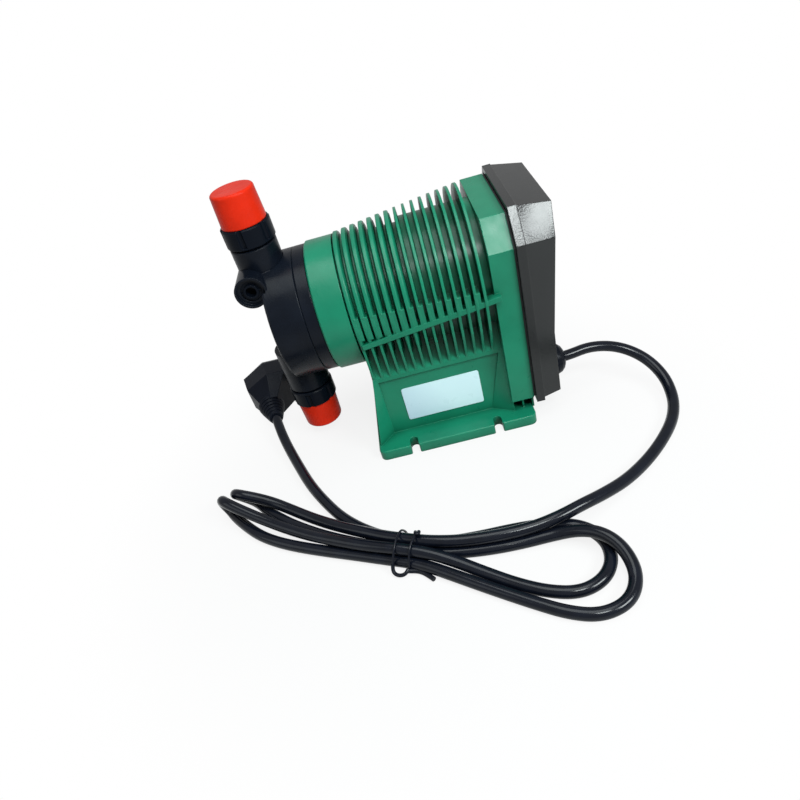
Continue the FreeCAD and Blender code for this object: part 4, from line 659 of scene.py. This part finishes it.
class PUMP_OT_stage(PumpOperator, bpy.types.Operator):
    """Set the floor, the soft lights and the camera"""

    bl_idname = "pump.stage"
    bl_label = "Stage"

    def execute(self, context):
        deselect()
        scene = context.scene
        bpy.ops.mesh.primitive_plane_add(size=scene.pump_sizes.floor_width, location=(0, 4.0, 0))
        floor = context.object
        floor.name = "floor"
        bpy.ops.object.transform_apply(location=True, rotation=True, scale=True)
        floor.data.materials.append(self.floor_paper(scene.pump_colours.floor))
        scene.world = self.soft_room()
        for values in LIGHTS:
            self.soft_light(*values)

        camera = bpy.data.cameras.new("photo_camera")
        camera.lens = CAMERA_LENS
        camera.sensor_width = 36.0
        camera.shift_x, camera.shift_y = CAMERA_SHIFT
        camera.clip_start = 0.01
        eye = bpy.data.objects.new("photo_camera", camera)
        scene.collection.objects.link(eye)
        columns = Matrix((CAMERA_RIGHT, CAMERA_UP, tuple(-part for part in CAMERA_FORWARD)))
        eye.matrix_world = Matrix.Translation(CAMERA_PLACE) @ columns.transposed().to_4x4()
        scene.camera = eye
        scene.view_settings.view_transform = "Standard"
        return {"FINISHED"}

    def floor_paper(self, colour):
        """Pale paper that keeps the shadow near the pump and goes to plain white away from it."""
        material, tree, shader, place = new_material("floor_paper")
        tone = place_group(
            tree, tone_drift, scale=3.0, tone_a=shade(colour, 0.995), tone_b=shade(colour, 1.005))
        link(tree, place, "Object", tone, "Vector")
        link(tree, tone, "Color", shader, "Base Color")
        shader.inputs["Roughness"].default_value = 0.8
        shader.inputs["Specular IOR Level"].default_value = 0.1
        middle = add(tree, "ShaderNodeVectorMath", operation="DISTANCE")
        middle.inputs[1].default_value = FLOOR_MIDDLE
        link(tree, place, "Object", middle, 0)
        away = add(tree, "ShaderNodeMapRange", interpolation_type="SMOOTHSTEP")
        away.inputs["From Min"].default_value, away.inputs["From Max"].default_value = FLOOR_FADE
        away.inputs["To Min"].default_value, away.inputs["To Max"].default_value = FLOOR_WHITE
        link(tree, middle, "Value", away, "Value")
        seen = self.seen_rays(tree)
        share = add(tree, "ShaderNodeMath", operation="MULTIPLY")
        link(tree, away, "Result", share, 0)
        link(tree, seen, "Value", share, 1)
        white = add(tree, "ShaderNodeEmission")
        mix = add(tree, "ShaderNodeMixShader")
        link(tree, share, "Value", mix, 0)
        tree.links.new(shader.outputs["BSDF"], mix.inputs[1])
        tree.links.new(white.outputs["Emission"], mix.inputs[2])
        link(tree, mix, "Shader", tree.nodes["Material Output"], "Surface")
        return material

    def seen_rays(self, tree):
        """1 for what the camera sees directly or through glass, and a share of that in a gloss."""
        path = add(tree, "ShaderNodeLightPath")
        gloss = add(tree, "ShaderNodeMath", operation="MULTIPLY")
        gloss.inputs[1].default_value = GLOSS_SHARE
        link(tree, path, "Is Glossy Ray", gloss, 0)
        direct = add(tree, "ShaderNodeMath", operation="MAXIMUM")
        link(tree, path, "Is Camera Ray", direct, 0)
        link(tree, gloss, "Value", direct, 1)
        seen = add(tree, "ShaderNodeMath", operation="MAXIMUM")
        link(tree, direct, "Value", seen, 0)
        link(tree, path, "Is Transmission Ray", seen, 1)
        return seen

    def soft_room(self):
        """A white room that lights the pump softly."""
        world = bpy.data.worlds.new("soft_room")
        world.use_nodes = True
        tree = world.node_tree
        room = tree.nodes["Background"]
        room.inputs["Color"].default_value = (1.0, 1.0, 1.0, 1.0)
        strength = add(tree, "ShaderNodeMapRange")
        strength.inputs["To Min"].default_value = ROOM_LIGHT
        strength.inputs["To Max"].default_value = 1.0
        link(tree, self.seen_rays(tree), "Value", strength, "Value")
        link(tree, strength, "Result", room, "Strength")
        return world

    def soft_light(self, name, place, aim, size, power):
        """A wide lamp that faces what it lights."""
        light = bpy.data.lights.new(name, "AREA")
        light.shape = "RECTANGLE"
        light.size, light.size_y = size
        light.energy = power
        light.color = LIGHT_TINT
        lamp = bpy.data.objects.new(name, light)
        bpy.context.scene.collection.objects.link(lamp)
        direction = Vector(aim) - Vector(place)
        lamp.matrix_world = (
            Matrix.Translation(place) @ direction.to_track_quat("-Z", "Y").to_matrix().to_4x4())


class PUMP_OT_power_cord(PumpOperator, bpy.types.Operator):
    """Lay the power cord from its gland through the hank to the plug"""

    bl_idname = "pump.power_cord"
    bl_label = "Power cord"

    def execute(self, context):
        thickness = context.scene.pump_sizes.cord_diameter
        cord = nurbs_line("power_cord", CORD_ROUTE, thickness / 2)
        wear(cord, "cord_black", "pump")
        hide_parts("power_cord_lead", "power_cord_tail", "cord_hank")
        dress("plug_body")
        dress("plug_pins", finish="plug_pins")
        return {"FINISHED"}


class PUMP_OT_casing(PumpOperator, bpy.types.Operator):
    """Finish the cast housing and its name plate"""

    bl_idname = "pump.casing"
    bl_label = "Casing"

    def execute(self, context):
        dress("main_housing", "name_plate")
        return {"FINISHED"}


class PUMP_OT_rear_cover(PumpOperator, bpy.types.Operator):
    """Finish the rear cover, its gasket, screws and gland"""

    bl_idname = "pump.rear_cover"
    bl_label = "Rear cover"

    def execute(self, context):
        dress("rear_cover", "cover_gasket", "cover_screws", "cable_gland", "gland_nut")
        return {"FINISHED"}


class PUMP_OT_controls(PumpOperator, bpy.types.Operator):
    """Finish the dial, the knob, the lamp and the power switch"""

    bl_idname = "pump.controls"
    bl_label = "Controls"

    def execute(self, context):
        dress("dial_plate", "rate_knob", "rate_shaft", "indicator_lens", "switch_frame", "power_rocker")
        return {"FINISHED"}


# The marks round the rate knob, in millimetres. The sweep is the knob's own turn.
DIAL_SWEEP = 270.0
DIAL_MARKS = 11
MARK_SIZE = (0.16, 0.7, 3.0)
MARK_REACH = 16.9
NUMBER_REACH = 22.0
NUMBER_HEIGHT = 3.4
PRINT_DEPTH = 0.08


def on_the_dial(turn, reach):
    """The place at a reach from the knob's middle, as far round as the pointer has turned."""
    angle = math.radians(turn)
    low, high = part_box("rate_shaft")
    middle = Vector((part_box("dial_plate")[1].x, 0.0, (low.z + high.z) / 2))
    return middle + Vector((0.0, -math.sin(angle), math.cos(angle))) * reach * MM


class PUMP_OT_dial_marks(PumpOperator, bpy.types.Operator):
    """Print plain marks and numbers round the rate knob"""

    bl_idname = "pump.dial_marks"
    bl_label = "Dial marks"

    def execute(self, context):
        deselect()
        bpy.ops.mesh.primitive_cube_add(size=MM)
        mark = context.object
        bpy.ops.object.mode_set(mode="EDIT")
        bpy.ops.mesh.select_all(action="SELECT")
        bpy.ops.transform.resize(value=MARK_SIZE)
        bpy.ops.mesh.bevel(offset=0.05 * MM, segments=2)
        bpy.ops.object.mode_set(mode="OBJECT")
        prints = []
        for index in range(DIAL_MARKS):
            turn = DIAL_SWEEP * index / (DIAL_MARKS - 1)
            tick = mark.copy()
            tick.data = mark.data.copy()
            context.scene.collection.objects.link(tick)
            lean = Matrix.Rotation(math.radians(turn), 4, "X")
            tick.data.transform(Matrix.Translation(on_the_dial(turn, MARK_REACH)) @ lean)
            prints.append(tick)
            if index % 2 == 0:
                prints.append(self.number(context, str(index * 10), on_the_dial(turn, NUMBER_REACH)))
        bpy.data.objects.remove(mark)
        deselect()
        for item in prints:
            item.select_set(True)
        context.view_layer.objects.active = prints[0]
        bpy.ops.object.join()
        marks = context.object
        marks.name = "dial_marks"
        wear(marks, "label_white", "pump", finish="dial_print")
        return {"FINISHED"}

    def number(self, context, text, place):
        """A flat number that faces the back of the pump."""
        deselect()
        bpy.ops.object.text_add()
        figure = context.object
        figure.data.body = text
        figure.data.size = NUMBER_HEIGHT * MM
        figure.data.extrude = PRINT_DEPTH * MM
        figure.data.align_x = "CENTER"
        figure.data.align_y = "CENTER"
        bpy.ops.object.convert(target="MESH")
        facing = Matrix(((0, 0, 1), (1, 0, 0), (0, 1, 0))).to_4x4()
        figure.data.transform(Matrix.Translation(place) @ facing)
        return figure


class PUMP_OT_pump_head(PumpOperator, bpy.types.Operator):
    """Finish the head, its clamp ring, screws and bleed valve"""

    bl_idname = "pump.pump_head"
    bl_label = "Pump head"

    def execute(self, context):
        dress("pump_head", "head_screws", "bleed_screw", "diaphragm", "diaphragm_plate")
        dress("clamp_ring", finish="head_black")
        return {"FINISHED"}


class PUMP_OT_valves(PumpOperator, bpy.types.Operator):
    """Finish the suction and discharge valves with their nuts and caps"""

    bl_idname = "pump.valves"
    bl_label = "Valves and caps"

    def execute(self, context):
        for side in ("discharge", "suction"):
            dress(*(f"{side}_{piece}" for piece in (
                "seat", "ball", "cage", "valve_body", "seals", "union_nut", "hose_spigot", "cap")))
        return {"FINISHED"}


class PUMP_OT_drive(PumpOperator, bpy.types.Operator):
    """Finish the solenoid, its plunger and the electronics inside the housing"""

    bl_idname = "pump.drive"
    bl_label = "Solenoid drive"

    def execute(self, context):
        dress(
            "plunger_rod", "armature", "return_spring", "front_bush", "rear_bush", "pole_piece",
            "solenoid_yoke", "coil_bobbin", "solenoid_coil", "stop_bumper", "solenoid_screws",
            "circuit_board", "board_screws", "terminal_block", "capacitors", "rate_potentiometer")
        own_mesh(frame["nodes"]["return_spring"])
        return {"FINISHED"}


# The tie's wires, as (along the hank, across it, up), in millimetres from its middle.
TIE_MIDDLE = (-43.5, -138.0)
TIE_ALONG = (-0.927, 0.375)
TIE_LOOPS = [
    (-7.6, -4.4, 15.4), (-7.2, 0.0, 15.1), (-6.6, 3.4, 14.9), (-6.3, 7.0, 13.4), (-6.0, 10.2, 9.0),
    (-5.5, 11.9, 4.0), (-4.5, 10.2, 0.9), (-2.5, 4.0, 0.7), (0.0, -4.0, 0.7), (2.0, -10.4, 0.9),
    (2.6, -12.0, 4.4), (2.6, -10.2, 9.0), (2.6, -6.9, 13.4), (2.6, -2.6, 15.0), (2.6, 3.0, 14.9),
    (2.8, 7.1, 13.3), (3.2, 10.3, 9.2), (3.9, 12.2, 5.0),
]
TIE_CURL = [
    (3.7, 11.8, 6.0), (4.2, 12.8, 3.4), (3.2, 14.4, 2.0), (0.6, 15.6, 1.8), (-2.6, 15.4, 2.2),
    (-4.6, 13.8, 3.2), (-4.8, 12.2, 3.6),
]
TIE_TAIL = [
    (-4.2, 12.6, 2.6), (-7.4, 11.6, 1.9), (-11.5, 11.4, 1.7), (-16.0, 13.0, 1.6), (-20.4, 15.6, 1.7),
]
TIE_NUB = [
    (-7.0, -5.0, 14.9), (-7.6, -3.4, 16.0), (-8.6, -2.8, 16.3), (-9.4, -3.8, 15.6),
    (-8.9, -5.4, 15.0),
]


def by_the_tie(points):
    """The same points in the frame of the pump."""
    along, across = TIE_ALONG, (-TIE_ALONG[1], TIE_ALONG[0])
    return [
        (TIE_MIDDLE[0] + along[0] * a + across[0] * s, TIE_MIDDLE[1] + along[1] * a + across[1] * s, z)
        for a, s, z in points
    ]


class PUMP_OT_cord_tie(PumpOperator, bpy.types.Operator):
    """Wrap the covered wire twice round the hank, with its twisted end and its tail"""

    bl_idname = "pump.cord_tie"
    bl_label = "Cord tie"

    def execute(self, context):
        radius = context.scene.pump_sizes.tie_wire / 2
        wires = [
            nurbs_line("cord_tie_wire", by_the_tie(TIE_LOOPS), radius),
            nurbs_line("tie_curl", by_the_tie(TIE_CURL), radius * 1.7),
            nurbs_line("tie_tail", by_the_tie(TIE_TAIL), radius * 2.2),
            nurbs_line("tie_nub", by_the_tie(TIE_NUB), radius * 1.7),
        ]
        deselect()
        for wire in wires:
            wire.select_set(True)
        context.view_layer.objects.active = wires[0]
        bpy.ops.object.convert(target="MESH")
        bpy.ops.object.join()
        tie = context.object
        tie.name = "cord_tie_wire"
        wear(tie, "wire_tie", "pump")
        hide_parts("cord_tie")
        return {"FINISHED"}


STEPS = (
    PUMP_OT_stage, PUMP_OT_cord_tie, PUMP_OT_power_cord, PUMP_OT_casing, PUMP_OT_rear_cover,
    PUMP_OT_controls, PUMP_OT_dial_marks, PUMP_OT_pump_head, PUMP_OT_valves, PUMP_OT_drive,
)


class PUMP_PT_panel(bpy.types.Panel):
    """Lists the pump's sizes, colours and steps"""

    bl_idname = "PUMP_PT_panel"
    bl_label = "Metering pump"
    bl_space_type = "VIEW_3D"
    bl_region_type = "UI"
    bl_category = "Pump"

    def draw(self, context):
        for group in (context.scene.pump_sizes, context.scene.pump_colours):
            for name in group.__annotations__:
                self.layout.prop(group, name)
        for step in STEPS:
            self.layout.operator(step.bl_idname)


CLASSES = (PumpColours, PumpSizes) + STEPS + (PUMP_PT_panel,)


def register():
    for item in CLASSES:
        bpy.utils.register_class(item)
    bpy.types.Scene.pump_colours = PointerProperty(type=PumpColours)
    bpy.types.Scene.pump_sizes = PointerProperty(type=PumpSizes)


def unregister():
    del bpy.types.Scene.pump_sizes
    del bpy.types.Scene.pump_colours
    for item in reversed(CLASSES):
        bpy.utils.unregister_class(item)


def main():
    register()
    bpy.ops.pump.stage()
    bpy.ops.pump.cord_tie()
    bpy.ops.pump.power_cord()
    bpy.ops.pump.casing()
    bpy.ops.pump.rear_cover()
    bpy.ops.pump.controls()
    bpy.ops.pump.dial_marks()
    bpy.ops.pump.pump_head()
    bpy.ops.pump.valves()
    bpy.ops.pump.drive()


if __name__ == "__main__":
    main()
